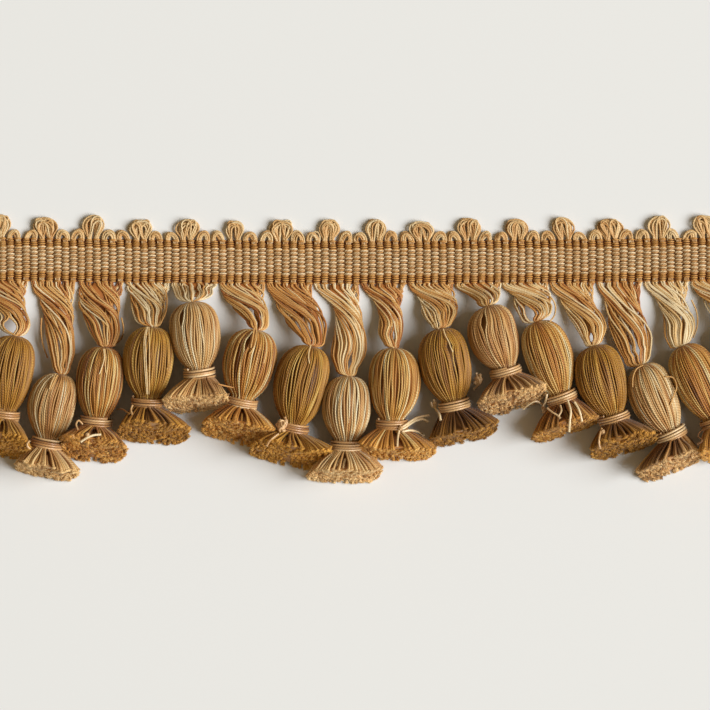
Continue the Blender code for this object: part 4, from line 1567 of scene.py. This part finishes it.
@dataclass
class Skein:
    """The looped yarn that hangs from the braid and closes in the pinch at an onion's tip."""

    hang: Hang
    yarn: float = 0.35
    first_seed: int = 300
    bundle_strands: int = 8
    foot_half: float = 0.11
    bundle_heart: float = 0.6
    heart_corners: int = 10
    full_length: float = 16.0
    spill: float = 0.5
    shoulder: float = 1.6
    pinch_half: float = 1.15
    pinch_height: float = 2.4
    pinch_turns: tuple[int, ...] = (14, 28, 42, 56, 70, 82, 90)
    open_points: int = 15
    tail: float = 1.2
    twist_from: float = 0.04
    twist_run: float = 0.72
    inmost: float = 0.22
    spots: Floats = (0.0, 0.16, 0.4, 0.66, 0.88, 1.0)
    lifts: Floats = (0.0, 0.0, 0.12, 0.45, 0.82, 1.0)
    crowns: Floats = (0.0, 0.3, 1.2, 1.6, 0.8, 0.0)
    thick_spots: Floats = (0.0, 0.16, 0.4, 0.66, 1.0)
    thicks: Floats = (1.4, 2.2, 3.0, 3.0, 2.4)
    lock_sway: float = 0.14
    lone_sway: float = 0.12
    tones: Floats = (0.16, 0.4, 0.62, 0.92)
    tone_shares: Floats = (0.18, 0.3, 0.3, 0.22)
    lock_tone: float = 0.08
    lone_tone: float = 0.14
    # Painted light: how much lighter the strands on the skein's top are than those below.
    height_shade_tone: float = 0.12
    eye_round: float = 0.75
    heart_from: float = 0.02
    heart_to: float = 0.54
    short_more: float = 0.4
    vary: Pair = (0.88, 1.06)
    stray_tone: float = 0.05
    tail_half: float = 0.5
    tail_rise: float = 0.6
    pinch_gap: float = 0.6
    root_tuck: float = 0.5
    shoulder_in: float = 0.4

    def __post_init__(self) -> None:
        """Works out the skein's sides, and how it compares with a full one."""
        self.raw = RawYarn(self.first_seed + self.hang.number)
        self.share, self.y, self.left, self.right = self.rails()
        self.middle, self.half = (self.left + self.right) / 2, (self.right - self.left) / 2
        self.thick = through(self.share, self.thick_spots, self.thicks)
        self.full = min((self.y[0] - self.y[-1]) / self.full_length, 1.0)

    def build(self, loom: Loom, finish: YarnFinish, drape: Drape) -> None:
        """Lays the skein's strands.

        Args:
            loom: What sweeps the yarn.
            finish: The skein's yarn.
            drape: What lays its stray strands.
        """
        self.strands()
        self.heart()
        drape.lay(self.raw, self.hang.own(SKEIN_STRAYS), drape.skein_hold)
        label = self.hang.label
        loom.weave(f"skein_yarns_{label}", self.raw, finish, "skein", (f"skein_{label}",), sides=4)

    def rails(self) -> tuple[np.ndarray, np.ndarray, np.ndarray, np.ndarray]:
        """Gives the skein's sides from the braid to the pinch.

        Returns:
            The share of the way, the height, the left edge and the right edge at each place.
        """
        root_x = -BRAID_LENGTH / 2 + (self.hang.number + 0.5) * REPEAT_LENGTH
        root_y = float(braid_rise(root_x)) - BRAID_HEIGHT / 2 + self.root_tuck
        knot_x, knot_y, _ = self.hang.place(-self.pinch_gap, 0.0, 0.0)
        half, inset = REPEAT_LENGTH / 2 + self.spill, self.shoulder_in
        rows = np.array(
            (
                (root_y, root_x - half, root_x + half),
                (root_y - self.shoulder, root_x - half + inset, root_x + half - inset),
                *SKEIN_EDGES[self.hang.number],
            )
        )
        ys = rows[:, 0]
        open_way = np.linspace(0, 1, self.open_points)
        turn = np.radians(self.pinch_turns)
        edges = []
        for column, side in ((1, -1), (2, 1)):
            edge = through(open_way, (ys[0] - ys) / (ys[0] - ys[-1]), rows[:, column] - side * self.yarn)
            out = side * self.pinch_half
            edges.append(np.concatenate([edge, knot_x + out + (edge[-1] - knot_x - out) * np.cos(turn)]))
        y = np.concatenate([ys[0] + (ys[-1] - ys[0]) * open_way, ys[-1] + (knot_y - ys[-1]) * np.sin(turn)])
        return (y[0] - y) / (y[0] - y[-1]), y, edges[0], edges[1]

    def strands(self) -> None:
        """Lays the strands round the twisted skein, in a front and a back layer."""
        hang, draw, share = self.hang, self.raw.draw, self.share
        many = COLUMNS_PER_REPEAT * self.bundle_strands
        bundle, column = np.divmod(np.arange(many), COLUMNS_PER_REPEAT)
        foot = (column + 0.5) * 2 / COLUMNS_PER_REPEAT - 1 + draw.uniform(-1, 1, many) * self.foot_half
        front = np.where(bundle % 2 == 0, 1, -1)
        begin = (np.arccos(np.clip(foot, -1, 1)) * front)[:, None]
        spread = (math.pi / 2 * (1 - foot) * front)[:, None]
        free = np.sin(share * math.pi) ** 0.7 * self.full
        done = np.clip((share - self.twist_from) / self.twist_run, 0, 1)
        turn = TWISTS[hang.number] * math.pi * done**1.5 * (3 - 2 * done)
        lock = Ripple(hang.number * 11 + 1, 1.5, 4.0, 5).at(begin * 1.6, share[None])
        lone = Ripple(hang.number * 11 + 6, 9.0, 6.0, 6).at(begin * 5, share[None])
        settle = 0.1 + 0.2 * self.full
        angle = begin + (spread - begin) * np.clip(share / settle, 0, 1) - turn
        angle = angle + (self.lock_sway * lock + self.lone_sway * lone) * free
        depth = 1 - (1 - np.sqrt(draw.uniform(self.inmost, 1, (many, 1)))) * np.clip(share * 4, 0, 1)
        across = np.cos(angle) * depth
        x = self.with_eye(self.middle + self.half * across)
        lift, crown = (through(share, self.spots, values) for values in (self.lifts, self.crowns))
        dome = 1 - np.clip(across, -1, 1) ** 2
        bottom = (hang.axis_z - self.pinch_height / 2) * lift + crown * dome * lift
        height = 0.5 + 0.5 * np.sin(angle) * depth
        z = bottom + self.yarn + (self.thick - 2 * self.yarn + crown * (1 - lift) * dome) * height
        slant = (x - x[:, -1:].mean()) * hang.across[1] * share**3
        paths = points(x, self.y + slant, np.maximum(z, self.yarn + 0.05))
        tail_side = draw.uniform(-self.tail_half, self.tail_half, many)
        tail_z = hang.axis_z + draw.uniform(-self.tail_rise, self.tail_rise, many)
        tail = hang.place(self.tail, tail_side, tail_z)
        tone = draw.choice(self.tones, (many, 1), p=self.tone_shares)
        tone = tone + draw.normal(0, self.stray_tone, (many, 1))
        tone = tone + self.lock_tone * lock + self.lone_tone * lone
        # Painted light: strands on the skein's top are made lighter and those below darker.
        tone = tone + self.height_shade_tone * (height - 0.5) * free + SKEIN_TONES[hang.number]
        tone = np.clip(np.concatenate([tone, tone[:, -1:]], axis=1), 0, 1)
        self.raw.lay(
            np.concatenate([paths, tail[:, None]], axis=1),
            self.yarn * draw.uniform(*self.vary, (many, 1)),
            tone,
        )

    def heart(self) -> None:
        """Fills the upper half of the skein below the strands that show, in the darkest tone, painted shade
        seen in the gaps between the strands.
        """
        short = 1 - self.full
        at = np.linspace(self.heart_from, self.heart_to + self.short_more * short, 7)
        sizes = (self.y, self.middle, self.half, self.thick)
        y, middle, half, thick = (np.interp(at, self.share, values)[:, None] for values in sizes)
        round_off = np.sqrt(np.clip(1 - ((at - at.mean()) / (np.ptp(at) * 0.52)) ** 2, 0, 1))[:, None]
        corner = -ring(self.heart_corners)
        wide = self.bundle_heart + self.short_more * short
        x = middle + half * wide * (0.3 + 0.7 * round_off) * np.cos(corner)
        z = self.yarn + thick * 0.3 * (1.05 + round_off * np.sin(corner))
        # Tone 0 is the darkest brown: painted shade that shows between the strands.
        self.raw.fill(points(x, y, z), 0.0)

    def with_eye(self, x: np.ndarray) -> np.ndarray:
        """Parts the strands round the skein's eye, if it has one.

        Args:
            x: The strands' places along the braid.

        Returns:
            The places with the eye left open.
        """
        y, left, right = self.y, self.left, self.right
        for eye in self.hang.own(EYES):
            half = eye.half_x * np.clip(1 - ((y - eye.y) / eye.half_y) ** 2, 0, 1) ** self.eye_round
            middle = int(np.argmin(np.abs(y - eye.y)))
            on_left = x[:, middle : middle + 1] < eye.x
            squeeze = (eye.x - half - left) / np.maximum(eye.x - left, 0.1)
            low = np.minimum(x, left + (x - left) * squeeze)
            squeeze = (right - eye.x - half) / np.maximum(right - eye.x, 0.1)
            high = np.maximum(x, right - (right - x) * squeeze)
            low, high = np.minimum(low, eye.x - half * 0.8), np.maximum(high, eye.x + half * 0.8)
            x = np.where(half > 0, np.where(on_left, low, high), x)
        return x


@dataclass(frozen=True)
class Parting:
    """A dark slit where an onion's strands have come apart."""

    number: int
    angle: float
    along: float
    length: float
    width: float

    def near(self, share: np.ndarray) -> np.ndarray:
        """Gives how near each place along the onion is to the slit's middle, up to 1."""
        return np.exp(-(((share - self.along) / self.length) ** 2))


PARTINGS = (
    Parting(4, 2.12, 0.20, 0.09, 0.15),
    Parting(5, 1.83, 0.20, 0.08, 0.11),
    Parting(9, 1.25, 0.26, 0.09, 0.15),
    Parting(10, 1.91, 0.21, 0.11, 0.16),
)


@dataclass(frozen=True)
class Mix:
    """The tones of one colour's strands, the share that has each, and the dark tone of the heart below,
    painted shade that shows between the strands.
    """

    tones: Floats
    shares: Floats
    heart: float


# Each colour's strand tones, with a dark heart tone that paints the shade seen between the strands.
MIXES = {
    Shade.OLIVE: Mix((0.32, 0.42, 0.52, 0.66), (0.28, 0.34, 0.28, 0.10), 0.08),
    Shade.PALE: Mix((0.34, 0.51, 0.68, 0.88), (0.15, 0.30, 0.33, 0.22), 0.24),
    Shade.GOLD: Mix((0.27, 0.42, 0.58, 0.90), (0.22, 0.36, 0.26, 0.16), 0.15),
}


@dataclass
class Tassel:
    """One hank of yarn: an onion of strands over a heart, and the cut skirt below its neck."""

    hang: Hang
    shade: Shade
    first_seed: int = 500
    yarn: float = 0.37
    cord: float = 0.338
    proud: float = 0.25
    strands: int = 82
    tone_drift: float = 0.09
    bunch_sway: float = 0.55
    lone_sway: float = 0.28
    wave_depth: float = 0.14
    crowding: float = 0.98
    rank_depth: float = 2.2
    neck_radius: float = 4.3
    neck_run: float = 3.2
    cut_height: float = 0.85
    tip_drift: float = 0.3
    gather: float = 0.7
    ragged: float = 0.34
    slit_depth: float = 3.2
    slit_reach: float = 0.35
    cream_share: float = 0.2
    cream_tone: float = 0.45
    stray_tone: float = 0.05
    root_stray: float = 0.1
    ring_stray: float = 0.015
    turn_stray: float = 0.04
    cut_stray: float = 0.16
    rise_stray: float = 0.12
    cord_vary: Pair = (0.9, 1.06)
    yarn_vary: Pair = (0.9, 1.1)
    tuft_vary: Pair = (0.95, 1.35)
    tip_spots: tuple[Pair, ...] = ((1.4, 0.7), (0.35, 1.1))
    ranks: Floats = (0.0, 0.9, 0.15, 1.0)
    onion_ripples: tuple[Floats, ...] = ((3, 13.0, 3.0, 8), (4, 60.0, 6.0, 6), (5, 30.0, 5.0, 6))
    skirt_rings: tuple[tuple[float, int, int], ...] = (
        (1.0, 58, 0),
        (0.91, 49, 0),
        (0.81, 39, 3),
        (0.71, 34, 3),
        (0.61, 29, 4),
        (0.51, 24, 4),
        (0.41, 19, 4),
        (0.31, 14, 4),
        (0.20, 9, 4),
        (0.08, 4, 4),
    )
    outline_spots: Floats = (0.0, 0.02, 0.06, 0.13, 0.25, 0.43, 0.68, 0.88, 1.0)
    outline_widths: Floats = (0.28, 0.48, 0.66, 0.83, 0.96, 1.0, 0.94, 0.73, 0.5)
    onion_spots: Floats = (
        0.0, 0.01, 0.03, 0.06, 0.1, 0.16, 0.25, 0.36, 0.47, 0.58, 0.68, 0.78, 0.87, 0.94, 1.0, 1.06,
    )
    heart_spots: Floats = (0.05, 0.12, 0.22, 0.36, 0.5, 0.64, 0.78, 0.9, 1.0, 1.25)
    heart_corners: int = 18
    heart_below: float = 0.88
    heart_end: float = 2.2
    skirt_spots: Floats = (0.0, 0.13, 0.28, 0.45, 0.62, 0.8, 1.0)
    skirt_swell: Floats = (0.95, 0.95, 1.0, 1.05, 1.12, 1.22, 1.35)
    skirt_fray: Floats = (0.0, 0.0, 0.0, 0.05, 0.2, 0.5, 0.85)
    fall_spots: Floats = (0.0, 0.36, 0.7, 1.0)
    spreads: Floats = (0.0, 0.44, 0.78, 1.0)
    falls: Floats = (0.0, 0.62, 1.0, 1.0)
    face_corners: int = 40
    face_depth: float = 0.7
    face_steps: Floats = (0.7, 0.35)
    fill_spots: Floats = (0.1, 0.3, 0.5, 0.7, 0.8, 0.85, 0.89, 0.91)
    fill_shrink: Floats = (0.8, 0.78, 0.8, 0.83, 0.88, 0.93, 0.95, 0.9)
    # Painted shade: the skirt heart's tone ring by ring, darkest deep inside and lighter towards the cut
    # face.
    fill_shade_tones: Floats = (0.0, 0.0, 0.0, 0.0, 0.05, 0.12, 0.2, 0.25, 0.25, 0.25)
    fill_fray: Floats = (0.0, 0.0, 0.0, 0.0, 0.0, 0.1, 0.3, 0.4, 0.4, 0.4)

    def __post_init__(self) -> None:
        """Starts the tassel's yarn and the uneven fields of its skirt."""
        number = self.hang.number
        self.raw = RawYarn(self.first_seed + number)
        self.clump, self.scallop = Ripple(number + 40, 9.0, 2.0), Ripple(number + 50, 6.0, 1.0, 4)
        self.rim_middle = [values.mean() for values in self.hang.rim(ring(self.hang.sides))]

    def build(self, loom: Loom, finish: YarnFinish) -> None:
        """Lays the tassel.

        Args:
            loom: What sweeps the yarn.
            finish: The tassel's own yarn.
        """
        self.onion()
        self.heart()
        self.fan()
        self.skirt_heart()
        label, slot = self.hang.label, f"tassel_{self.shade.value}"
        loom.weave(f"tassel_yarns_{label}", self.raw, finish, slot, (f"tassel_{label}",), sides=4)

    def outline(self, share: np.ndarray) -> np.ndarray:
        """Gives the onion's half width from tip to neck."""
        widths = (*self.outline_widths[:-1], self.neck_radius / self.hang.drop.half)
        return through(np.clip(share, 0, 1), self.outline_spots, widths) * self.hang.drop.half

    def bulge(self, share: np.ndarray) -> np.ndarray:
        """Gives how far the onion's middle line lies to the side, from tip to neck."""
        return self.hang.drop.bulge * np.sin(math.pi * np.clip(share, 0, 1))

    def onion(self) -> None:
        """Lays the onion's strands, which leave the tip over rounded shoulders and run to the neck."""
        hang, draw, share = self.hang, self.raw.draw, np.array(self.onion_spots)
        around = (np.arange(self.strands) + 0.5) / self.strands * math.tau
        bunch, lone, wavy = (
            Ripple(hang.number * 5 + seed, first, second, waves).at(around[:, None], share[None])
            for seed, first, second, waves in self.onion_ripples
        )
        free = np.clip(np.sin(np.clip(share, 0, 1) * math.pi), 0, 1) ** 0.5
        sway = self.bunch_sway * bunch + self.lone_sway * lone
        angle = around[:, None] + math.tau / self.strands * sway * free
        for parting in hang.own(PARTINGS):
            gap = (around - parting.angle)[:, None]
            push = parting.width * np.exp(-np.abs(gap) / self.slit_reach)
            angle = angle + np.sign(gap) * push * parting.near(share)
        width = self.outline(share) - self.yarn + self.proud * np.clip(np.sin(share * math.pi), 0, 1)
        rank = np.array(self.ranks)[np.arange(self.strands) % len(self.ranks)]
        crowd = self.strands * 2 * self.yarn * 0.9 / (math.tau * np.maximum(width, 1.0))
        depth = np.clip(crowd - self.crowding, 0, 0.9)[None] * rank[:, None] * self.yarn * self.rank_depth
        radius = width[None] - np.minimum(depth, 0.6 * width[None]) + self.wave_depth * wavy * free
        radius = np.maximum(radius, 0.3)
        side = self.bulge(share) + radius * np.cos(angle)
        z = hang.axis_z + radius * hang.depth_share * np.sin(angle)
        body = hang.place(share * hang.body_length, side, np.maximum(z, self.yarn))
        turn = around + draw.normal(0, self.root_stray, self.strands)
        starts, dimple = (
            hang.place(along, reach * np.cos(turn), hang.axis_z + reach * np.sin(turn))[:, None]
            for along, reach in self.tip_spots
        )
        tone = self.tones(self.strands)[:, None] + self.tone_drift * lone + ONION_TONES[hang.number]
        tone = np.clip(np.concatenate([tone[:, :1], tone[:, :1], tone], axis=1), 0, 1)
        radius = self.cord * draw.uniform(*self.cord_vary, (self.strands, 1))
        self.raw.lay(np.concatenate([starts, dimple, body], axis=1), radius, tone)

    def tones(self, many: int) -> np.ndarray:
        """Draws tones of the mix that the tassel's colour has.

        Args:
            many: How many strands there are.

        Returns:
            A tone for each strand.
        """
        draw, mix = self.raw.draw, MIXES[self.shade]
        tone = draw.choice(mix.tones, many, p=mix.shares)
        return np.clip(tone + draw.normal(0, self.stray_tone, many), 0, 1)

    def heart(self) -> None:
        """Fills the onion and the neck below the strands that show, with a body in a dark tone that is
        painted shade for the gaps between the strands.
        """
        hang, share = self.hang, np.array(self.heart_spots)
        width = self.outline(share) - self.heart_below
        width[-1] = self.heart_end
        angle = -ring(self.heart_corners)
        width = np.repeat(width[:, None], len(angle), axis=1)
        for parting in hang.own(PARTINGS):
            off = np.abs(np.exp(1j * (angle - parting.angle)) - 1)
            width = width - self.slit_depth * np.exp(-((off / 0.3) ** 2)) * parting.near(share)[:, None]
        side = self.bulge(share)[:, None] + width * np.cos(angle)
        z = hang.axis_z + width * hang.depth_share * np.sin(angle)
        # The heart's dark tone is painted shade in the gaps between the strands.
        self.raw.fill(hang.place((share * hang.body_length)[:, None], side, z), MIXES[self.shade].heart)

    def rim_ends(self, angle: np.ndarray, inside: Any) -> list[np.ndarray]:
        """Gives how far along, across and up skirt strands end, by angle and share inside the rim."""
        both = zip(self.rim_middle, self.hang.rim(angle))
        return [centre + (edge - centre) * inside for centre, edge in both]

    def fan(self) -> None:
        """Lays the skirt: long strands outside, short ones inside, and a tuft on each cut end."""
        draw = self.raw.draw
        for depth, many, first in self.skirt_rings:
            angle = draw.uniform(0, math.tau) + ring(many) + draw.normal(0, self.turn_stray, many)
            inside = depth + draw.normal(0, self.ring_stray, many)
            ends = self.rim_ends(angle, inside)
            ragged = self.ragged * inside * self.scallop.at(angle, 0.0) * (np.sin(angle) > 0)
            ends[0] = ends[0] + draw.normal(0, self.cut_stray, many) + ragged
            ends[2] = np.maximum(ends[2] + draw.normal(0, self.rise_stray, many), self.cut_height)
            share = np.array(self.skirt_spots[first:])
            paths = self.skirt_paths(angle, inside, ends, share, self.clump)
            tone = np.clip(self.tones(many) + SKIRT_TONES[self.hang.number], 0, 1)
            radius = self.yarn * np.array(self.skirt_swell[first:])
            radius = radius * draw.uniform(*self.yarn_vary, (many, 1))
            self.raw.lay(paths, radius, tone[:, None], self.skirt_fray[first:])
            cream = self.cream_tone * (draw.uniform(0, 1, many) < self.cream_share)
            tip_tone = np.clip(tone + cream + draw.normal(0, self.tip_drift, many), 0, 1)
            size = draw.uniform(*self.tuft_vary, many)
            self.raw.cut(paths[:, -1], paths[:, -1] - paths[:, -2], size, tip_tone)

    def skirt_paths(
        self, angle: np.ndarray, inside: Any, ends: list[np.ndarray], share: np.ndarray, clump: Ripple
    ) -> np.ndarray:
        """Gives the way of some skirt strands from the neck to the cut.

        Args:
            angle: Where each is around the neck.
            inside: How far from the middle each is, 0 to 1.
            ends: How far along, how far across and how high each one ends.
            share: The way from the neck to the cut at each point.
            clump: The uneven field that gathers neighbours.

        Returns:
            Their places, as strand, point and axis.
        """
        hang = self.hang
        packed = (self.neck_radius - self.yarn) * inside
        start_side, start_z = packed * np.cos(angle), hang.axis_z + packed * np.sin(angle)
        start_along = hang.body_length + self.neck_run
        both = (self.spreads, self.falls)
        spread, fall = (through(share, self.fall_spots, values)[None] for values in both)
        drop = (ends[2] - start_z)[:, None]
        z = start_z[:, None] + drop * np.where(drop < 0, fall, spread)
        gather = clump.at(angle[:, None], share[None] * 2) * self.gather * share[None] * (1.15 - share[None])
        side = start_side[:, None] + (ends[1] - start_side)[:, None] * spread + gather
        along = start_along + (ends[0] - start_along)[:, None] * share[None]
        return hang.place(along, side, np.maximum(z, self.yarn))

    def skirt_heart(self) -> None:
        """Fills the skirt below the strands that show, and closes it with the face of the cut; its tone is
        darkest deep inside and lighter towards the face, painted shade in the recesses between the yarn ends.
        """
        angle = -ring(self.face_corners)
        ends = self.rim_ends(angle, 0.97)
        ends[0] = ends[0] + self.ragged * self.scallop.at(angle, 0.0) * (np.sin(angle) > 0)
        ends[2] = np.maximum(ends[2], self.yarn * 2)
        steady = Ripple(0, 0.0, 0.0, 1)
        paths = self.skirt_paths(angle, self.face_depth, ends, np.array(self.fill_spots), steady)
        rings = paths.transpose(1, 0, 2)
        centres = rings.mean(axis=1, keepdims=True)
        rings = centres + (rings - centres) * np.array(self.fill_shrink)[:, None, None]
        face = rings[-1]
        middle = face.mean(axis=0)
        inner = [middle + (face - middle) * step for step in self.face_steps]
        rings = np.concatenate([rings, np.stack(inner)])
        rings[..., 2] = np.maximum(rings[..., 2], 0.1)
        # Painted shade: the heart is darkest deep inside and lighter towards the cut face.
        self.raw.fill(rings, self.fill_shade_tones, self.fill_fray)


@dataclass
class Tie:
    """The thread wound round a tassel's neck."""

    hang: Hang
    first_seed: int = 700
    turns: float = 4.3
    thread: float = 0.40
    pitch: float = 0.86
    radius: float = 5.05
    barrel: float = 0.4
    bow: float = 0.45
    points_a_turn: int = 22

    def build(self, loom: Loom, finish: YarnFinish, drape: Drape) -> None:
        """Winds the thread.

        Args:
            loom: What sweeps the yarn.
            finish: The thread.
            drape: What lays its loose ends.
        """
        hang, label = self.hang, self.hang.label
        raw = RawYarn(self.first_seed + hang.number)
        draw = raw.draw
        turn = np.linspace(0, self.turns, int(self.turns * self.points_a_turn))
        angle = turn * math.tau + draw.uniform(0, math.tau)
        wander, swell, drift = (
            size * Ripple(hang.number + seed).at(turn * pace, 0.0)
            for size, seed, pace in ((0.10, 60, 2.1), (0.12, 61, 2.7), (0.2, 62, 3.0))
        )
        first = hang.body_length + TIE_WIDTH / 2 - self.turns * self.pitch / 2
        along = first + turn * self.pitch + self.bow * np.sin(angle) + wander
        radius = self.radius + self.barrel * (1 - (2 * turn / self.turns - 1) ** 2) + swell
        path = hang.place(along, radius * np.cos(angle), hang.axis_z + radius * np.sin(angle))
        tone = np.clip(draw.uniform(0.35, 0.75) + drift + TIE_TONES[hang.number], 0, 1)
        raw.lay(path, self.thread * draw.uniform(0.95, 1.05), tone)
        drape.lay(raw, hang.own(TIE_ENDS), drape.tie_hold)
        for knot in hang.own(KNOTS):
            drape.knot(raw, knot)
        loom.weave(f"tie_thread_{label}", raw, finish, "tie", (f"tie_{label}",), sides=6)


@dataclass
class Studio:
    """The pale table, the soft light and the camera above."""

    middle_x: float = -1.75
    middle_y: float = -32.4
    picture_width: float = 248.5
    camera_height: float = 2200.0
    sensor: float = 36.0
    nearest: float = 0.05
    farthest: float = 20.0
    table_reach: float = 3.0
    table_chip: Chip = (232, 233, 232)
    key_energy: float = 6174.0
    key_size: float = 16.2
    key_place: tuple[float, float, float] = (15.6, -1.5, 14.1)
    key_colour: tuple[float, float, float] = (0.995, 1.014, 1.034)
    sky: float = 0.20
    sky_colour: tuple[float, float, float] = (1.0, 0.79, 0.48)

    def build(self) -> None:
        """Sets up the table, the lights and the camera."""
        self.table()
        self.lights()
        self.camera()

    def camera(self) -> None:
        """Makes the camera, which looks straight down through a long lens."""
        lens = bpy.data.cameras.new("camera")
        lens.sensor_width = self.sensor
        lens.lens = self.sensor * self.camera_height / self.picture_width
        lens.clip_start = self.nearest
        lens.clip_end = self.farthest
        view = put("camera", lens)
        view.location = (self.middle_x * MM, self.middle_y * MM, self.camera_height * MM)
        bpy.context.scene.camera = view

    def lights(self) -> None:
        """Makes a large soft light from the right, and an even pale surround."""
        scene = bpy.context.scene
        scene.view_settings.view_transform = "Standard"
        world = bpy.data.worlds.new("surround")
        world.use_nodes = True
        backdrop = world.node_tree.nodes["Background"]
        backdrop.inputs["Color"].default_value = (*self.sky_colour, 1.0)
        backdrop.inputs["Strength"].default_value = self.sky
        scene.world = world
        key = bpy.data.lights.new("key", "AREA")
        key.shape = "DISK"
        key.size = self.key_size
        key.energy = self.key_energy
        key.color = self.key_colour
        lamp = put("key", key)
        lamp.location = self.key_place
        aim = Vector((self.middle_x * MM, self.middle_y * MM, 0.0)) - lamp.location
        lamp.rotation_mode = "QUATERNION"
        lamp.rotation_quaternion = aim.to_track_quat("-Z", "Y")

    def table(self) -> None:
        """Makes the table's top, which isn't part of the fringe."""
        mesh = bpy.data.meshes.new("table")
        corners = [(x * self.table_reach, y * self.table_reach, 0.0) for x, y in TABLE_CORNERS]
        mesh.from_pydata(corners, [], [(0, 1, 2, 3)])
        material = bpy.data.materials.new("pale_table")
        material.use_nodes = True
        shader = material.node_tree.nodes["Principled BSDF"]
        shader.inputs["Base Color"].default_value = paint(*self.table_chip)
        shader.inputs["Roughness"].default_value = 0.9
        shader.inputs["Specular IOR Level"].default_value = 0.0
        mesh.materials.append(material)
        put("table", mesh)


BRAID_YARN = YarnFinish(
    "braid_yarn",
    (
        (206, 146, 68),
        (184, 128, 56),
        (206, 154, 80),
        (190, 136, 74),
        (186, 140, 86),
        (204, 168, 116),
        (238, 214, 172),
    ),
    twist_shade=0.16,
    drift_tone=0.06,
)
LOOP_YARN = YarnFinish(
    "loop_yarn",
    ((182, 122, 60), (206, 152, 86), (222, 178, 116), (232, 198, 142), (244, 220, 174)),
    twist_shade=0.2,
)
SKEIN_YARN = YarnFinish(
    "skein_yarn",
    ((170, 100, 42), (200, 136, 64), (218, 164, 90), (234, 196, 132), (248, 226, 182)),
    twist_shade=0.2,
)
TIE_THREAD = YarnFinish(
    "tie_thread",
    ((134, 84, 40), (196, 144, 86), (226, 184, 128), (250, 226, 180)),
    roughness=0.36,
    twist_shade=0.1,
    specular=0.9,
    relief=0.00005,
)
TASSEL_YARNS = {
    Shade.OLIVE: YarnFinish(
        "olive_yarn",
        ((90, 50, 10), (156, 101, 28), (190, 134, 44), (212, 163, 70), (234, 200, 118)),
        fray_and_glow_colour=(220, 160, 60),
        twist_shade=0.4,
    ),
    Shade.PALE: YarnFinish(
        "pale_yarn",
        ((104, 60, 22), (188, 128, 64), (218, 167, 98), (234, 198, 138), (252, 238, 198)),
        fray_and_glow_colour=(248, 208, 142),
        twist_shade=0.4,
    ),
    Shade.GOLD: YarnFinish(
        "gold_yarn",
        ((92, 48, 14), (182, 114, 40), (212, 150, 64), (228, 186, 106), (250, 232, 182)),
        fray_and_glow_colour=(238, 178, 80),
        twist_shade=0.4,
    ),
}
BRAID_CLOTH = ClothFinish("braid_ground", (64, 28, 8), (124, 68, 24))


def main() -> None:
    """Loads the frame, lays every piece of the fringe on it and sets up the studio."""
    logging.basicConfig(level=logging.INFO, format="%(message)s")
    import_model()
    Studio().build()
    loom = Loom()
    Braid().build(loom, BRAID_YARN, BRAID_CLOTH)
    LoopedEdge().build(loom, LOOP_YARN)
    shades, hangs, drape = list(Shade), [Hang(number) for number in range(REPEATS)], Drape()
    for hang in hangs:
        shade = shades[hang.number % len(shades)]
        Tassel(hang, shade).build(loom, TASSEL_YARNS[shade])
    for hang in hangs:
        Skein(hang).build(loom, SKEIN_YARN, drape)
    for hang in hangs:
        Tie(hang).build(loom, TIE_THREAD, drape)
    loom.put_away()


if __name__ == "__main__":
    main()
